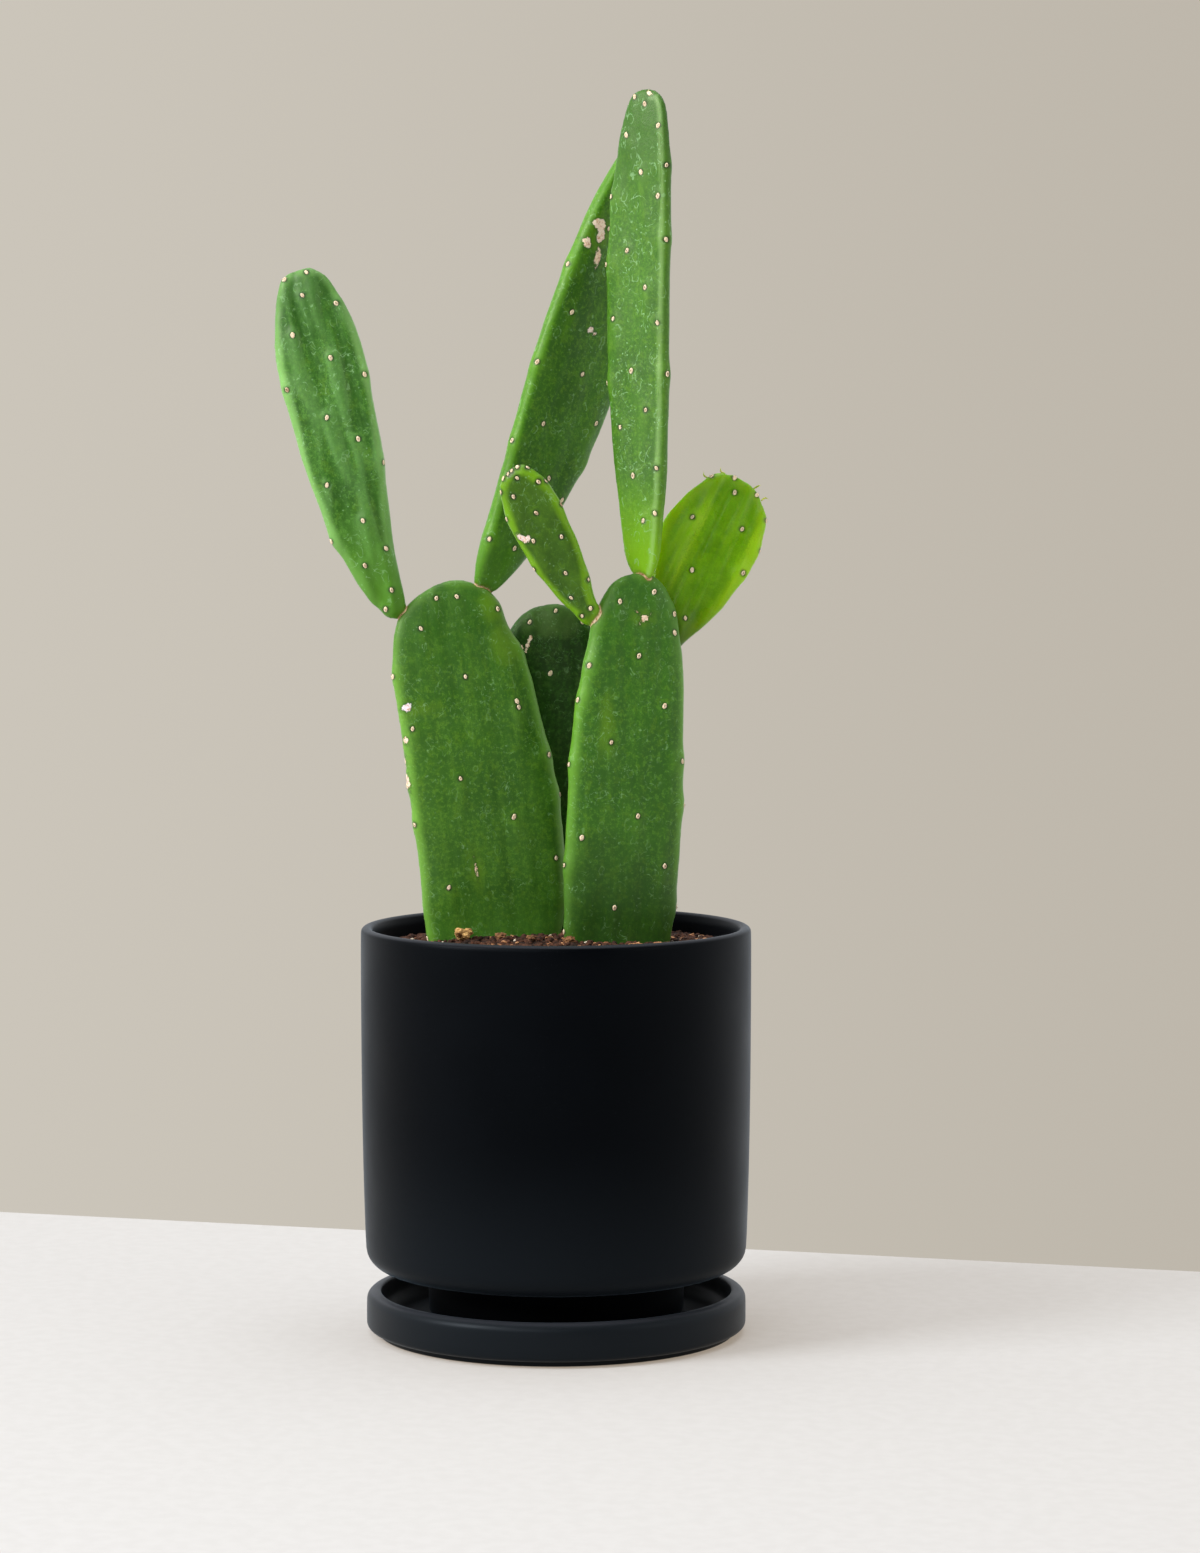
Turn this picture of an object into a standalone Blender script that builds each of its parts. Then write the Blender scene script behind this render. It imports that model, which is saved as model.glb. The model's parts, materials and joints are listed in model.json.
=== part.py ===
"""Potted paddle cactus: eight flat green pads in a round planter on its saucer.

Metres, +Z up. The origin is the centre of the saucer's underside, and -Y is the front.
Each pad is one closed solid that stops a hair short of the pad it grows from.
"""

import math
import random
from dataclasses import dataclass

import bmesh
import bpy
from mathutils import Matrix, Vector

MM = 0.001

# Planter, a plain cylinder that draws in a little towards its narrower foot.
POT_RADIUS = 0.1005
POT_TOP_Z = 0.2104
POT_WALL = 0.0065
POT_LIP_ROUND = 0.003
POT_TAPER = 0.0025           # how much narrower the side is at its bottom
POT_CORNER_ROUND = 0.0115
POT_UNDERSIDE_Z = 0.0340
POT_FLOOR = 0.007
FOOT_RADIUS = 0.066
DRAIN_HOLE_RADIUS = 0.010

# Saucer that the planter stands in.
SAUCER_RADIUS = 0.098
SAUCER_RIM_Z = 0.0222
SAUCER_WALL = 0.0075
SAUCER_FLOOR = 0.0075
SAUCER_LIP_ROUND = 0.0012        # inner edge of the rim
SAUCER_SHOULDER_ROUND = 0.0048   # outer edge of the rim
SAUCER_CORNER_ROUND = 0.0030     # lower outer edge
SAUCER_EDGE_ROUND = 0.0075       # inside, where the wall meets the floor
SAUCER_FOOT_HEIGHT = 0.0030
SAUCER_FOOT_INSET = 0.0055
SAUCER_FOOT_ROUND = 0.0010

# Soil, mounded a little around the stems.
SOIL_BELOW_RIM = 0.0115
SOIL_MOUND = 0.006
BURIED_DEPTH = 0.0384        # how deep the three base pads go into the soil

# Fits between neighbours.
REST_GAP = 0.0003            # pot on saucer, soil in pot, soil round stems
JOINT_GAP = 0.0003           # pad against the pad it grows from
JOINT_SINK = 0.004           # how far a pad's neck reaches into its parent's rind

# Pads, in millimetres: half-widths at these shares of the length, from base to tip.
OUTLINE_SHARES = (0.03, 0.10, 0.20, 0.35, 0.50, 0.65, 0.80, 0.90, 0.96, 0.99)
BASE_PAD_THICKNESS = 14.0
TALL_PAD_THICKNESS = 11.0
FRONT_PAD_THICKNESS = 8.5
SMALL_PAD_THICKNESS = 8.0
YOUNG_PAD_THICKNESS = 7.0
SECTION_POWER = 2.6          # superellipse: flat faces and round margins
END_POWER = 6                # keeps a pad's thickness even up to its ends

# Mesh fineness.
PAD_SEGMENTS = 20
PAD_RINGS = 18
TURN_STEPS = 48
ARC_STEPS = 5

LEAF_LENGTH = 0.0055
LEAF_RADIUS = 0.0011
LEAF_HOOK = math.radians(75)


@dataclass
class Pad:
    """A pad's outline, thickness and lie; lengths in millimetres, angles in degrees."""

    name: str
    length: float
    thickness: float
    left: tuple
    right: tuple
    colour: tuple
    tilt: float = 0.0        # towards +X
    lean: float = 0.0        # towards +Y, away from the front
    turn: float = 0.0        # of the front face, towards +X
    bow: float = 0.0         # of the middle, towards the front
    twist: float = 0.0       # from base to tip
    sink: float = JOINT_SINK / MM
    base: Vector = None      # metres, set when the pad is placed


BASE_PAD_LEFT = Pad(
    "base_pad_left", length=185.6, thickness=BASE_PAD_THICKNESS, sink=BURIED_DEPTH / MM,
    left=(17, 29, 36, 35.5, 36, 36, 37, 33.5, 24.5, 10),
    right=(16, 29, 36.5, 41, 41, 37, 33, 24, 20, 9),
    tilt=-6.9, turn=9, bow=2, twist=4, colour=(0.055, 0.165, 0.028, 1),
)
BASE_PAD_RIGHT = Pad(
    "base_pad_right", length=188.6, thickness=BASE_PAD_THICKNESS, sink=BURIED_DEPTH / MM,
    left=(15, 26, 31, 33, 33.5, 32.5, 28, 24, 18.5, 11),
    right=(15, 23.5, 26, 27.5, 27.5, 26, 23.5, 19, 14, 8),
    tilt=3.3, turn=15, bow=3, colour=(0.052, 0.168, 0.030, 1),
)
BASE_PAD_BACK = Pad(
    "base_pad_back", length=171.6, thickness=BASE_PAD_THICKNESS, sink=BURIED_DEPTH / MM,
    left=(13, 22, 27, 29, 29.5, 29.5, 28.5, 25.5, 19.5, 10.5),
    right=(13, 22, 27, 29.5, 30, 29.5, 28.5, 24.5, 18.5, 9),
    turn=-4, bow=-2, colour=(0.030, 0.095, 0.018, 1),
)
UPPER_PAD_LEFT = Pad(
    "upper_pad_left", length=182.0, thickness=TALL_PAD_THICKNESS,
    left=(8.5, 15, 20.5, 25.5, 27.5, 26.5, 24.5, 20, 14.5, 8.5),
    right=(3, 4, 5, 9.5, 14.5, 17.5, 17.5, 14.5, 11.5, 7.5),
    tilt=-16.0, turn=5, bow=3, twist=-5, colour=(0.105, 0.300, 0.095, 1),
)
TALL_PAD_BACK = Pad(
    "tall_pad_back", length=239.0, thickness=TALL_PAD_THICKNESS,
    left=(6.5, 9, 11, 14, 16.5, 16.5, 13.5, 9.5, 5.5, 3),
    right=(9, 18.5, 27.5, 36, 39, 36, 28, 18, 10, 5),
    tilt=18.5, lean=2.5, turn=37, bow=2, twist=5, colour=(0.045, 0.120, 0.022, 1),
)
TALL_PAD_FRONT = Pad(
    "tall_pad_front", length=246.0, thickness=FRONT_PAD_THICKNESS,
    left=(8, 13, 17.5, 22.5, 25, 25, 21.5, 16.5, 12, 8.5),
    right=(8.5, 11, 12.5, 13.5, 13.5, 14, 14.5, 14, 12.5, 9),
    tilt=0.3, turn=-38, bow=-2, colour=(0.095, 0.290, 0.050, 1),
)
SMALL_PAD_FRONT = Pad(
    "small_pad_front", length=84.0, thickness=SMALL_PAD_THICKNESS,
    left=(5.5, 7.5, 11.5, 14.5, 16.5, 18, 16.5, 14, 10.5, 6),
    right=(3.5, 4.5, 5.5, 8.5, 10.5, 10.5, 10, 7.5, 4.5, 2.5), sink=6.0,
    tilt=-26.4, lean=-9, turn=-11, bow=1, colour=(0.070, 0.185, 0.035, 1),
)
YOUNG_PAD_RIGHT = Pad(
    "young_pad_right", length=106.0, thickness=YOUNG_PAD_THICKNESS,
    left=(3.5, 6.5, 11.5, 17.5, 23.5, 26.5, 22.5, 17.5, 13, 7.5),
    right=(4.5, 8, 12, 19, 23, 25.5, 23.5, 19, 13.5, 7),
    tilt=26.5, lean=14, turn=4, bow=-1, colour=(0.260, 0.540, 0.020, 1),
)

# Where the three base pads leave the soil: X and Y in metres.
ROOTED_PADS = (
    (BASE_PAD_LEFT, -0.0310, 0.008),
    (BASE_PAD_RIGHT, 0.0334, -0.012),
    (BASE_PAD_BACK, -0.0021, 0.045),
)

# The other pads, each with its parent and its seat there: share of the parent's
# length, share of its half-width (right is positive), share of its half-thickness
# (back is positive).
BRANCHING_PADS = (
    (UPPER_PAD_LEFT, BASE_PAD_LEFT, (0.940, -0.98, 0.0)),
    (TALL_PAD_BACK, BASE_PAD_LEFT, (0.970, 0.88, 0.2)),
    (TALL_PAD_FRONT, BASE_PAD_RIGHT, (0.992, 0.05, 0.0)),
    (SMALL_PAD_FRONT, BASE_PAD_RIGHT, (0.900, -1.06, -0.1)),
    (YOUNG_PAD_RIGHT, BASE_PAD_RIGHT, (0.807, 0.40, 0.92)),
)

# Young leaves on the tip of the young pad: share of its length, side, lean forward.
YOUNG_LEAVES = (
    (0.930, -1.0, 0.3),
    (0.985, -1.0, -0.2),
    (0.985, 1.0, 0.3),
    (0.950, 1.0, -0.2),
)

# Loose pieces on the soil: name, X, Y, radius, seed.
SOIL_PIECES = (
    ("bark_lump", -0.0470, -0.012, 0.0047, 3),
    ("soil_chip_left", -0.0280, -0.017, 0.0028, 5),
    ("soil_chip_middle", -0.0125, -0.026, 0.0025, 8),
    ("soil_chip_right", 0.0070, -0.033, 0.0030, 13),
    ("soil_chip_back", 0.0480, 0.030, 0.0032, 21),
)


def clear_scene():
    for thing in list(bpy.data.objects):
        bpy.data.objects.remove(thing, do_unlink=True)


def new_collection(name):
    collection = bpy.data.collections.new(name)
    bpy.context.scene.collection.children.link(collection)
    return collection


def material(name, colour, roughness):
    made = bpy.data.materials.new(name)
    made.use_nodes = True
    shader = made.node_tree.nodes["Principled BSDF"]
    shader.inputs["Base Color"].default_value = colour
    shader.inputs["Roughness"].default_value = roughness
    shader.inputs["Metallic"].default_value = 0.0
    return made


def mesh_object(name, mesh, collection, finish=None):
    made = bpy.data.objects.new(name, mesh)
    collection.objects.link(made)
    if finish:
        mesh.materials.append(finish)
    mesh.shade_smooth()
    return made


def as_cutter(thing):
    thing.hide_render = True
    thing.display_type = "WIRE"
    return thing


def cut(thing, cutter):
    """Take the cutter's shape out of a piece."""
    boolean = thing.modifiers.new("cut_" + cutter.name, "BOOLEAN")
    boolean.operation = "DIFFERENCE"
    boolean.solver = "EXACT"
    boolean.object = cutter


# ---------------------------------------------------------------- turned pieces


def arc(centre, radius, start, end, steps=ARC_STEPS):
    """Points on a circle in the (radius, height) plane, angles in degrees."""
    points = []
    for step in range(steps + 1):
        angle = math.radians(start + (end - start) * step / steps)
        points.append(
            (centre[0] + radius * math.cos(angle), centre[1] + radius * math.sin(angle))
        )
    return points


def turned(name, profile, collection, finish, closed):
    """A solid of revolution; its profile runs down the outer side."""
    mesh = bpy.data.meshes.new(name)
    shape = bmesh.new()
    points = [shape.verts.new((radius, 0.0, height)) for radius, height in profile]
    for first, second in zip(points, points[1:]):
        shape.edges.new((first, second))
    if closed:
        shape.edges.new((points[-1], points[0]))
    shape.to_mesh(mesh)
    shape.free()
    made = mesh_object(name, mesh, collection, finish)
    screw = made.modifiers.new("turn", "SCREW")
    screw.axis = "Z"
    screw.angle = 2 * math.pi
    screw.steps = TURN_STEPS
    screw.render_steps = TURN_STEPS
    screw.use_merge_vertices = True
    screw.merge_threshold = 0.00002
    screw.use_smooth_shade = True
    return made


def build_saucer(collection):
    inner = SAUCER_RADIUS - SAUCER_WALL
    lip = SAUCER_LIP_ROUND
    shoulder = min(SAUCER_SHOULDER_ROUND, SAUCER_WALL - lip)
    corner_z = SAUCER_FOOT_HEIGHT + SAUCER_CORNER_ROUND
    foot = SAUCER_RADIUS - SAUCER_FOOT_INSET
    profile = [(0.0, SAUCER_FLOOR)]
    profile += arc((inner - SAUCER_EDGE_ROUND, SAUCER_FLOOR + SAUCER_EDGE_ROUND),
                   SAUCER_EDGE_ROUND, -90, 0)
    profile += arc((inner + lip, SAUCER_RIM_Z - lip), lip, 180, 90, 3)
    profile += arc((SAUCER_RADIUS - shoulder, SAUCER_RIM_Z - shoulder), shoulder, 90, 0)
    profile += arc((SAUCER_RADIUS - SAUCER_CORNER_ROUND, corner_z), SAUCER_CORNER_ROUND, 0, -90)
    profile.append((foot, SAUCER_FOOT_HEIGHT))
    profile += arc((foot - SAUCER_FOOT_ROUND, SAUCER_FOOT_ROUND), SAUCER_FOOT_ROUND, 0, -90, 3)
    profile += [(0.0, 0.0)]
    glaze = material("saucer_glaze", (0.012, 0.014, 0.016, 1), 0.42)
    return turned("saucer", profile, collection, glaze, closed=False)


def pot_radius_at(height):
    """Outer radius of the planter's side, drawing in towards its bottom."""
    share = (height - POT_UNDERSIDE_Z) / (POT_TOP_Z - POT_UNDERSIDE_Z)
    return POT_RADIUS - POT_TAPER * (1 - share) ** 3


def build_pot(collection):
    foot_z = SAUCER_FLOOR + REST_GAP
    floor_z = POT_UNDERSIDE_Z + POT_FLOOR
    inner = POT_RADIUS - POT_WALL
    lip = POT_LIP_ROUND
    corner_z = POT_UNDERSIDE_Z + POT_CORNER_ROUND
    corner_radius = pot_radius_at(corner_z) - POT_CORNER_ROUND
    inner_round = POT_CORNER_ROUND - POT_WALL / 2
    top_centre_z = POT_TOP_Z - lip

    profile = arc((inner + lip, top_centre_z), lip, 180, 90, 3)
    profile += arc((pot_radius_at(top_centre_z) - lip, top_centre_z), lip, 90, 0, 4)
    for share in (0.75, 0.5, 0.25):
        height = corner_z + share * (top_centre_z - corner_z)
        profile.append((pot_radius_at(height), height))
    profile += arc((corner_radius, corner_z), POT_CORNER_ROUND, 0, -90)
    profile += [
        (FOOT_RADIUS + 0.001, POT_UNDERSIDE_Z),
        (FOOT_RADIUS, POT_UNDERSIDE_Z - 0.001),
        (FOOT_RADIUS, foot_z + 0.001),
        (FOOT_RADIUS - 0.001, foot_z),
        (DRAIN_HOLE_RADIUS, foot_z),
        (DRAIN_HOLE_RADIUS, floor_z),
    ]
    profile += arc((inner - inner_round, floor_z + inner_round), inner_round, -90, 0, 4)
    glaze = material("pot_glaze", (0.010, 0.012, 0.014, 1), 0.40)
    return turned("pot", profile, collection, glaze, closed=True)


# ------------------------------------------------------------------------- soil


def soil_rim_radius():
    return POT_RADIUS - POT_WALL - REST_GAP


def soil_height(radius):
    """Height of the soil's surface, highest at the middle."""
    share = min(radius / soil_rim_radius(), 1.0)
    return POT_TOP_Z - SOIL_BELOW_RIM + SOIL_MOUND * (1 - share ** 2)


def build_soil(collection):
    """One body of soil, from the pot's floor to its mounded top."""
    edge = soil_rim_radius()
    bottom_z = POT_UNDERSIDE_Z + POT_FLOOR + REST_GAP
    corner = POT_CORNER_ROUND
    rings = 6
    profile = []
    for ring in range(rings + 1):
        radius = edge * ring / rings
        profile.append((radius, soil_height(radius)))
    profile += arc((edge - corner, bottom_z + corner), corner, 0, -90, 3)
    profile.append((0.0, bottom_z))
    earth = material("potting_soil", (0.045, 0.022, 0.013, 1), 0.95)
    return turned("soil", profile, collection, earth, closed=False)


def build_soil_pieces(collection):
    """Lumps of bark and coarse chips that lie on the soil."""
    bark = material("bark", (0.42, 0.27, 0.13, 1), 0.85)
    for name, x, y, radius, seed in SOIL_PIECES:
        chance = random.Random(seed)
        mesh = bpy.data.meshes.new(name)
        shape = bmesh.new()
        bmesh.ops.create_icosphere(shape, subdivisions=2, radius=radius)
        for vert in shape.verts:
            vert.co *= chance.uniform(0.82, 1.0)
            vert.co.x *= 1.25
            vert.co.z *= 0.8
        lowest = min(vert.co.z for vert in shape.verts)
        shape.to_mesh(mesh)
        shape.free()
        lump = mesh_object(name, mesh, collection, bark)
        reach = 1.25 * radius
        ground = soil_height(max(math.hypot(x, y) - reach, 0.0))
        lump.rotation_euler = (0.0, 0.0, math.radians(40 * seed))
        lump.location = (x, y, ground + REST_GAP - lowest)


# ------------------------------------------------------------------------- pads


def smooth_value(xs, ys, x):
    """Cubic through the points (xs, ys), level past both ends."""
    if x <= xs[0]:
        return ys[0]
    if x >= xs[-1]:
        return ys[-1]
    i = max(k for k in range(len(xs) - 1) if xs[k] <= x)

    def slope(k):
        if k in (0, len(xs) - 1):
            return 0.0
        return (ys[k + 1] - ys[k - 1]) / (xs[k + 1] - xs[k - 1])

    span = xs[i + 1] - xs[i]
    t = (x - xs[i]) / span
    rise = ys[i] * (2 * t ** 3 - 3 * t ** 2 + 1) + ys[i + 1] * (3 * t ** 2 - 2 * t ** 3)
    lead_in = slope(i) * (t ** 3 - 2 * t ** 2 + t) * span
    lead_out = slope(i + 1) * (t ** 3 - t ** 2) * span
    return rise + lead_in + lead_out


def half_width(widths, share):
    """Half-width in millimetres; both ends close in a round."""
    angles = [math.acos(1 - 2 * s) for s in OUTLINE_SHARES]
    fullness = [w / math.sin(a) for w, a in zip(widths, angles)]
    angle = math.acos(max(-1.0, min(1.0, 1 - 2 * share)))
    return math.sin(angle) * smooth_value(angles, fullness, angle)


def half_thickness(pad, share):
    inward = max(1 - abs(2 * share - 1) ** END_POWER, 0.0)
    return pad.thickness / 2 * math.sqrt(inward)


def pad_point(pad, share, across, through, grow=0.0):
    """A point of the pad in its own frame, in metres.

    across and through are -1 to 1 on the pad's half-width and half-thickness,
    and grow moves the surface outward by that many metres.
    """
    side = pad.right if across > 0 else pad.left
    extra = grow / MM
    x = across * (half_width(side, share) + extra)
    y = through * (half_thickness(pad, share) + extra) - pad.bow * math.sin(math.pi * share)
    whole = pad.length + pad.sink + 2 * extra
    z = share * whole - pad.sink - extra
    twist = math.radians(pad.twist * (share - 0.5))
    return Matrix.Rotation(twist, 3, "Z") @ (Vector((x, y, z)) * MM)


def pad_matrix(pad):
    """Where the pad stands: its base point, then tilt, lean and turn."""
    tilt = Matrix.Rotation(math.radians(pad.tilt), 4, "Y")
    lean = Matrix.Rotation(math.radians(-pad.lean), 4, "X")
    turn = Matrix.Rotation(math.radians(pad.turn), 4, "Z")
    return Matrix.Translation(pad.base) @ tilt @ lean @ turn


def superellipse(angle):
    """Point of the unit cross-section, flat-faced and round-edged."""
    power = 2 / SECTION_POWER
    across = math.copysign(abs(math.cos(angle)) ** power, math.cos(angle))
    through = math.copysign(abs(math.sin(angle)) ** power, math.sin(angle))
    return across, through


def pad_mesh(pad, grow=0.0):
    """A sphere drawn out into the pad's shape."""
    mesh = bpy.data.meshes.new(pad.name)
    shape = bmesh.new()
    bmesh.ops.create_uvsphere(shape, u_segments=PAD_SEGMENTS, v_segments=PAD_RINGS, radius=1)
    for vert in shape.verts:
        share = (vert.co.z + 1) / 2
        share = max(0.0, min(1.0, share))
        across, through = 0.0, 0.0
        if math.hypot(vert.co.x, vert.co.y) > 1e-5:
            across, through = superellipse(math.atan2(vert.co.y, vert.co.x))
        vert.co = pad_point(pad, share, across, through, grow)
    bmesh.ops.recalc_face_normals(shape, faces=shape.faces)
    shape.to_mesh(mesh)
    shape.free()
    return mesh


def add_pad(pad, collection):
    rind = material(pad.name + "_skin", pad.colour, 0.45)
    made = mesh_object(pad.name, pad_mesh(pad), collection, rind)
    made.matrix_world = pad_matrix(pad)
    return made


def add_grown_pad(pad, cutters):
    """The pad with the joint gap around it, for cutting its neighbours."""
    made = mesh_object(pad.name + "_gap", pad_mesh(pad, JOINT_GAP), cutters)
    made.matrix_world = pad_matrix(pad)
    return as_cutter(made)


def build_pads(collection, cutters, soil):
    grown = {}
    for pad, x, y in ROOTED_PADS:
        pad.base = Vector((x, y, soil_height(math.hypot(x, y))))
        add_pad(pad, collection)
        grown[pad.name] = add_grown_pad(pad, cutters)
        cut(soil, grown[pad.name])
    for pad, parent, seat in BRANCHING_PADS:
        pad.base = pad_matrix(parent) @ pad_point(parent, *seat)
        cut(add_pad(pad, collection), grown[parent.name])


# ----------------------------------------------------------------- young leaves


def leaf_mesh(name):
    """A short fleshy leaf that narrows to a hooked tip."""
    mesh = bpy.data.meshes.new(name)
    shape = bmesh.new()
    bmesh.ops.create_uvsphere(shape, u_segments=8, v_segments=8, radius=1)
    bend_radius = LEAF_LENGTH / LEAF_HOOK
    for vert in shape.verts:
        share = (vert.co.z + 1) / 2
        taper = LEAF_RADIUS * (1 - 0.55 * share)
        angle = LEAF_HOOK * share
        from_centre = bend_radius + taper * vert.co.y
        height = from_centre * math.sin(angle)
        drop = bend_radius - from_centre * math.cos(angle)
        vert.co = Vector((taper * vert.co.x, -drop, height))
    bmesh.ops.recalc_face_normals(shape, faces=shape.faces)
    shape.to_mesh(mesh)
    shape.free()
    return mesh


def build_leaves(collection):
    """Leaves on the young pad's tip, pointing outward in the pad's plane."""
    pad = YOUNG_PAD_RIGHT
    place = pad_matrix(pad)
    fresh = material("young_leaf_skin", (0.42, 0.60, 0.05, 1), 0.4)
    middle = pad_point(pad, 0.72, 0.0, 0.0)
    for number, (share, side, forward) in enumerate(YOUNG_LEAVES, start=1):
        foot = pad_point(pad, share, side, 0.0)
        outward = (foot - middle).normalized()
        aim = (outward + Vector((0.0, -forward, 0.0))).normalized()
        name = f"young_leaf_{number}"
        leaf = mesh_object(name, leaf_mesh(name), collection, fresh)
        start = foot + outward * JOINT_GAP
        turned_out = aim.to_track_quat("Z", "Y").to_matrix().to_4x4()
        leaf.matrix_world = place @ Matrix.Translation(start) @ turned_out


def main():
    clear_scene()
    collection = new_collection("potted_paddle_cactus")
    cutters = new_collection("cutters")
    build_saucer(collection)
    build_pot(collection)
    soil = build_soil(collection)
    build_pads(collection, cutters, soil)
    build_leaves(collection)
    build_soil_pieces(collection)


main()
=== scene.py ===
"""The looks of the potted paddle cactus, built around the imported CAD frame.

Metres, +Z up, -Y the front. Each pad is remeshed from its CAD solid, given bumps, cushions,
bristles and scars, and painted by fields that its mesh carries. Pot and saucer are turned
again, finely, from their own CAD sections.
"""

import json
import math
import random
from dataclasses import dataclass

import bmesh
import bpy
import numpy as np
from mathutils import Matrix, Vector, noise
from mathutils.bvhtree import BVHTree

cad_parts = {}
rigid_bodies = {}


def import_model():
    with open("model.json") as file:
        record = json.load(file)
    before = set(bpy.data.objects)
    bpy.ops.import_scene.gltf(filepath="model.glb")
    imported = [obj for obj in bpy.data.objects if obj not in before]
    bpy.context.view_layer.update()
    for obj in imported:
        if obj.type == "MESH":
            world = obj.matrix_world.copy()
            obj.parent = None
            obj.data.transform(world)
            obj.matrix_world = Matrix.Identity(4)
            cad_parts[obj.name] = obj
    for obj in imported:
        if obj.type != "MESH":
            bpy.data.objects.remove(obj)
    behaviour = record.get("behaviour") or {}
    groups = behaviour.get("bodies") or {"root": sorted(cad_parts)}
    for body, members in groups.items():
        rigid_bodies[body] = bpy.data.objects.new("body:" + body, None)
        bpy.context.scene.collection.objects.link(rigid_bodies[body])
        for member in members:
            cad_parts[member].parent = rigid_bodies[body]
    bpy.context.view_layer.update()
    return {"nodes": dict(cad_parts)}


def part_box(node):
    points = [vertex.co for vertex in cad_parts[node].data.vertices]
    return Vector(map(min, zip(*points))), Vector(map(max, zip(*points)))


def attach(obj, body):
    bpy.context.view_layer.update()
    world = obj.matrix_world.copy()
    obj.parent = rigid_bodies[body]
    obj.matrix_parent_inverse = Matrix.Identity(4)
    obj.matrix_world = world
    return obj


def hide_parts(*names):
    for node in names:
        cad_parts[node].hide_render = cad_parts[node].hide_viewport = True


MM = 0.001
# Closer than this, in metres, two CAD points are one.
WELD = 0.00002
# Surfaces further apart than this, in metres, don't matter to each other.
NEAR = 0.02
# The value, in millimetres, of a mark's distance field where the mark can't show.
FAR_MM = 99.0

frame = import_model()

# ---- node graphs


class Graph:
    """A material's or a world's node tree, with short calls for the nodes used here."""

    def __init__(self, owner):
        owner.use_nodes = True
        self.owner = owner
        self.tree = owner.node_tree
        # The colour so far, while layers go over it.
        self.colour = None

    def plug(self, socket, value):
        """Link an output into a socket, or set the socket to a plain value."""
        if isinstance(value, bpy.types.NodeSocket):
            self.tree.links.new(value, socket)
        else:
            socket.default_value = value

    def node(self, kind, inputs=None, **settings):
        """A new node with these settings, and with its inputs by name or number."""
        made = self.tree.nodes.new("ShaderNode" + kind)
        for name, value in settings.items():
            setattr(made, name, value)
        for name, value in (inputs or {}).items():
            self.plug(made.inputs[name], value)
        return made

    def set(self, **values):
        """Shader inputs by name, with underscores for spaces."""
        shader = self.tree.nodes["Principled BSDF"]
        for name, value in values.items():
            self.plug(shader.inputs[name.replace("_", " ")], value)

    def field(self, name, output="Fac"):
        """A number, or a vector, that the mesh carries at its points."""
        return self.node("Attribute", attribute_name=name).outputs[output]

    def place(self):
        """The object's own coordinates, in metres."""
        return self.node("TexCoord").outputs["Object"]

    def stretched(self, vector, scale):
        return self.node("Mapping", {"Vector": vector, "Scale": scale}).outputs["Vector"]

    def noise(self, vector, scale, detail=2.0, roughness=0.5, distortion=0.0):
        return self.node("TexNoise", {
            "Vector": vector, "Scale": scale, "Detail": detail, "Roughness": roughness,
            "Distortion": distortion}).outputs["Fac"]

    def cells(self, vector, scale, output="Distance"):
        return self.node("TexVoronoi", {"Vector": vector, "Scale": scale}).outputs[output]

    def math(self, operation, first, second=0.0, clamp=False):
        made = self.node("Math", {0: first, 1: second}, operation=operation, use_clamp=clamp)
        return made.outputs[0]

    def plus(self, first, second):
        return self.math("ADD", first, second)

    def minus(self, first, second):
        return self.math("SUBTRACT", first, second)

    def times(self, *values):
        product = values[0]
        for value in values[1:]:
            product = self.math("MULTIPLY", product, value)
        return product

    def apart(self, first, second):
        """How far two numbers are from each other."""
        return self.math("ABSOLUTE", self.minus(first, second))

    def swing(self, value, reach):
        """A noise turned into a number that swings either side of nought."""
        return self.times(self.minus(value, 0.5), reach)

    def span(self, value, low, high, out_low, out_high):
        """A value in low..high taken smoothly to out_low..out_high, and held beyond."""
        return self.node("MapRange", {
            "Value": value, "From Min": low, "From Max": high, "To Min": out_low,
            "To Max": out_high}, interpolation_type="SMOOTHSTEP").outputs["Result"]

    def rise(self, value, low, high, most=1.0):
        """Nought below low, and most above high."""
        return self.span(value, low, high, 0.0, most)

    def fall(self, value, low, high, most=1.0):
        """Most below low, and nought above high."""
        return self.span(value, low, high, most, 0.0)

    def mix(self, factor, first, second):
        made = self.node("Mix", {"Factor": factor}, data_type="RGBA")
        self.plug(made.inputs[6], first)
        self.plug(made.inputs[7], second)
        return made.outputs[2]

    def cover(self, share, tint):
        """Lay a tint over the colour so far, as thickly as share says."""
        self.colour = self.mix(share, self.colour, tint)

    def bump(self, height, distance, strength=1.0, normal=None):
        inputs = {"Distance": distance, "Strength": strength, "Height": height}
        if normal:
            inputs["Normal"] = normal
        return self.node("Bump", inputs).outputs["Normal"]


def new_graph(name):
    """The graph of a new material."""
    return Graph(bpy.data.materials.new(name))


def srgb(red, green, blue):
    """A colour given as it looks on screen, 0 to 255, as linear light."""
    return tuple(
        (c / 255 / 12.92) if c <= 10 else ((c / 255 + 0.055) / 1.055) ** 2.4
        for c in (red, green, blue)
    ) + (1.0,)


def scaled(colour, share):
    """A colour made darker or lighter."""
    return tuple(c * share for c in colour[:3]) + (1.0,)


# ---- materials


# A painted highlight along a pad's ridge, and the darkest painted shade right round each cushion.
RIDGE_HIGHLIGHT = srgb(168, 206, 132)
SEAT_SHADOW = srgb(34, 34, 16)


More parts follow.
